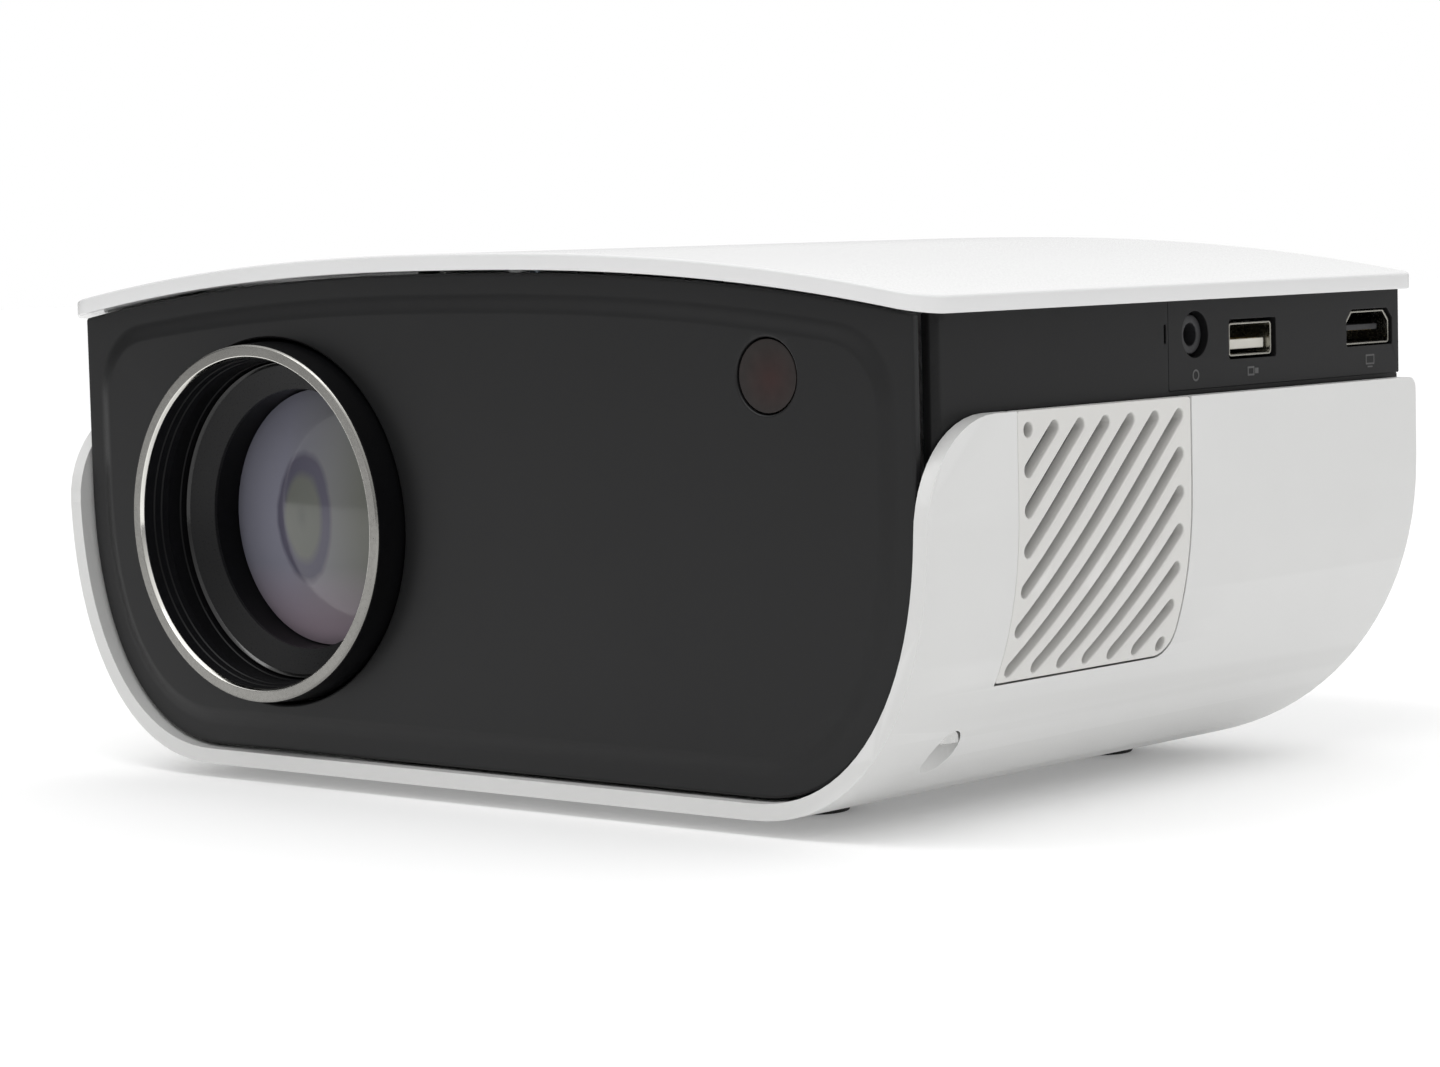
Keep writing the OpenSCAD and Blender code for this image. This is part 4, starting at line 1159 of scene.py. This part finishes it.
def lens_group():
    front = RING_LOW.y
    back = front + 2.2
    outer = (RING_HIGH.x - RING_LOW.x) / 2
    inner = outer - 2.3
    # a flat grey band with a small outer chamfer, and a thin polished lip inside it
    band = [
        (inner + 0.5, back, 0),
        (inner + 0.5, front, 0.04),
        (outer - 0.3, front, 0.1),
        (outer, front + 0.3, 0.1),
        (outer, back, 0),
    ]
    turned("bright_bezel", band, "focus_ring", "bright_ring", ["chrome_bezel"], sharp=60)
    lip = [
        (inner + 0.5, front + 0.9, 0),
        (inner + 0.1, front + 0.85, 0.03),
        (inner + 0.05, front + 0.6, 0.1),
        (inner + 0.36, front + 0.08, 0.18),
        (inner + 0.5, front + 0.02, 0.03),
    ]
    turned(
        "bezel_lip", lip, "focus_ring", "bright_ring", steps=5, sharp=60, look="polished_lip"
    )
    # the barrel: behind the band, a sleeve over its edge, the outside back to the rear end, and
    # the bore forward again over two steps
    barrel = [
        (inner + 0.02, front + 0.85, 0),
        (inner + 0.4, front + 0.95, 0),
        (inner + 0.4, back + 0.05, 0),
        (outer - 0.1, back + 0.02, 0),
        (outer - 0.1, front + 0.5, 0),
        (outer + 0.06, front + 0.45, 0.05),
        (outer + 0.35, back + 2.6, 1.0),
        (PANEL_HOLE_R - 0.5, 1.6, 0.6),
        (PANEL_HOLE_R - 0.5, 12, 0.3),
        (28.3, 14.5, 0.3),
        (28.3, 40, 0.2),
        (26.1, 40, 0.2),
        (26.1, 15.6, 0.1),
        (27, 14.4, 0.2),
        (27, 5.5, 0.2),
        (26.95, 4.4, 0.1),
        (27.15, 4.2, 0.1),
        (27.15, 1.6, 0.1),
        (26.95, 1.4, 0.1),
        (27.1, 0.2, 0.1),
        (27.3, 0, 0.1),
        (27.35, -1.2, 0.1),
        (27.55, -1.4, 0.1),
    ]
    turned("focus_barrel", barrel, "focus_ring", "lens_black", ["focus_ring"])
    cone = [
        (22, 7.6, 0.12),
        (24.6, 6.5, 0),
        (26.2, 5.75, 0.1),
        (26.55, 6.0, 0.1),
        (26.55, 6.8, 0.1),
        (24.9, 8, 0.1),
        (22, 8.2, 0.05),
    ]
    turned("grey_cone", cone, "lens_barrel", "baffle_grey", ["lens_baffle"])
    step = [(26.1, 5.95, 0), (26.15, 5.74, 0.12), (26.75, 5.14, 0.16), (26.9, 5.9, 0)]
    turned("cone_rim", step, "lens_barrel", "baffle_grey", look="black_gloss")
    # the front glass: domed forward by its bulge, a short edge, and a flatter rear
    rim_r, rim_y, bulge = 21.8, 13, 4.4
    glass = [(rim_r * t, rim_y - bulge * (1 - t * t)) for t in [k / 24 for k in range(25)]]
    glass += [(rim_r, 13.3), (rim_r, 18.2)]
    glass += [(21.6 * t, 18.4 - 0.6 * (1 - t * t)) for t in [k / 12 for k in range(12, -1, -1)]]
    build(
        "front_glass", lathe(glass, about_lens, 144, closed=False), "lens_barrel",
        "lens_glass", ["front_lens"], sharp=40, look="front_glass",
    )


front_panel()
top_cover()
for key_node in KEYS:
    key(key_node, "cap_" + key_node[4:], KEY_R)
key("power_button", "cap_power", POWER_R)
key_marks()
grille("right_vent", "right_grille", 1)
grille("left_vent", "left_grille", -1)
side_wall("right_wall", "right_side_panel", 1)
side_wall("left_wall", "left_side_panel", -1)
ports()
lens_group()

# ---------- floor, light and camera ----------


def backdrop():
    """Pale plain floor, faintly lit from within so that shadows stay light."""
    mesh = bpy.data.meshes.new("floor")
    reach = 4.0
    corners = [(x * reach, y * reach, 0) for x, y in ((-1, -1), (1, -1), (1, 1), (-1, 1))]
    mesh.from_pydata(corners, [], [(0, 1, 2, 3)])
    obj = bpy.data.objects.new("floor", mesh)
    SCENE.collection.objects.link(obj)
    n = Nodes("floor")
    n.link(
        n.mix(n.ramp(n.noise(6), 0, 1), (0.83, 0.83, 0.83, 1), (0.85, 0.85, 0.85, 1)),
        n.shader.inputs["Base Color"],
    )
    n.shader.inputs["Roughness"].default_value = 0.9
    n.shader.inputs["Emission Color"].default_value = (1, 1, 1, 1)
    n.shader.inputs["Emission Strength"].default_value = 0.15
    obj.data.materials.append(n.material)


def softbox(name, at, to, size, power):
    """White rectangular lamp that looks at a point."""
    data = bpy.data.lights.new(name, "AREA")
    data.shape, data.size, data.size_y = "RECTANGLE", *size
    data.energy = power
    obj = bpy.data.objects.new(name, data)
    SCENE.collection.objects.link(obj)
    obj.location = at
    obj.rotation_mode = "QUATERNION"
    obj.rotation_quaternion = (Vector(to) - Vector(at)).to_track_quat("-Z", "Y")


# Sky: level at the horizon and overhead, and two directions in which it differs, each with
# the range of cosines from that direction and the factor or the addition across it
SKY = (0.0, 1.0, 0.36, 1.4)
DARK_CORNER, CORNER_DIM = (-0.985, -0.174, 0.0), (0.70, 0.92, 1.0, 0.1)
BRIGHT_WALL, WALL_LIFT = (-0.65, 0.75, 0.1), (0.75, 0.97, 0.0, 0.36)
# Lamps: name, place from the middle of the object, size, watts
LAMPS = (("strip_light", (0.0, -0.45, 0.88), (1.1, 0.18), 2.3),)


def studio():
    """Bright sky that is calmer at the horizon, a dark corner, a white wall and a strip light."""
    sky = bpy.data.worlds.new("studio")
    sky.use_nodes = True
    tree = sky.node_tree
    background = tree.nodes["Background"]
    place = tree.nodes.new("ShaderNodeTexCoord").outputs["Generated"]

    def add(kind, operation, *sources):
        node = tree.nodes.new(kind)
        node.operation = operation
        for k, source in enumerate(sources):
            tree.links.new(source, node.inputs[k])
        return node

    def towards(direction, spans):
        node = add("ShaderNodeVectorMath", "DOT_PRODUCT", place)
        node.inputs[1].default_value = direction
        return map_range(tree, node.outputs["Value"], spans)

    apart = tree.nodes.new("ShaderNodeSeparateXYZ")
    tree.links.new(place, apart.inputs["Vector"])
    level = map_range(tree, apart.outputs["Z"], SKY)
    # the front panel mirrors the dark corner on the left, the cover the white wall behind it
    both = add("ShaderNodeMath", "MULTIPLY", level, towards(DARK_CORNER, CORNER_DIM))
    total = add("ShaderNodeMath", "ADD", both.outputs[0], towards(BRIGHT_WALL, WALL_LIFT))
    # the camera itself sees plain white
    shown = tree.nodes.new("ShaderNodeLightPath")
    pick = tree.nodes.new("ShaderNodeMix")
    pick.inputs[3].default_value = 1.0
    tree.links.new(shown.outputs["Is Camera Ray"], pick.inputs[0])
    tree.links.new(total.outputs[0], pick.inputs[2])
    tree.links.new(pick.outputs[0], background.inputs["Strength"])
    background.inputs["Color"].default_value = (1, 1, 1, 1)
    SCENE.world = sky
    middle = (cad_low + cad_high) / 2
    for name, at, size, power in LAMPS:
        softbox(name, middle + Vector(at), middle, size, power)


# Camera of the reference view
AZIMUTH, ELEVATION, ROLL = math.radians(40.70), math.radians(4.519), math.radians(-1.429)
TARGET = Vector((55.54, -66.5, 45.78)) * MM
DISTANCE = 582.17 * MM
LENS_MM = 96.55


def camera():
    data = bpy.data.cameras.new("camera")
    data.sensor_width, data.lens = 36.0, LENS_MM
    data.clip_start, data.clip_end = 0.01, 20
    obj = bpy.data.objects.new("camera", data)
    SCENE.collection.objects.link(obj)
    back = Vector(
        (
            math.sin(AZIMUTH) * math.cos(ELEVATION),
            -math.cos(AZIMUTH) * math.cos(ELEVATION),
            math.sin(ELEVATION),
        )
    )
    right = Vector((math.cos(AZIMUTH), math.sin(AZIMUTH), 0))
    up = back.cross(right)
    r = right * math.cos(ROLL) + up * math.sin(ROLL)
    u = up * math.cos(ROLL) - right * math.sin(ROLL)
    turn = Matrix((r, u, back)).transposed().to_4x4()
    obj.matrix_world = Matrix.Translation(TARGET + back * DISTANCE) @ turn
    SCENE.camera = obj


backdrop()
studio()
camera()
SCENE.view_settings.view_transform = "Standard"
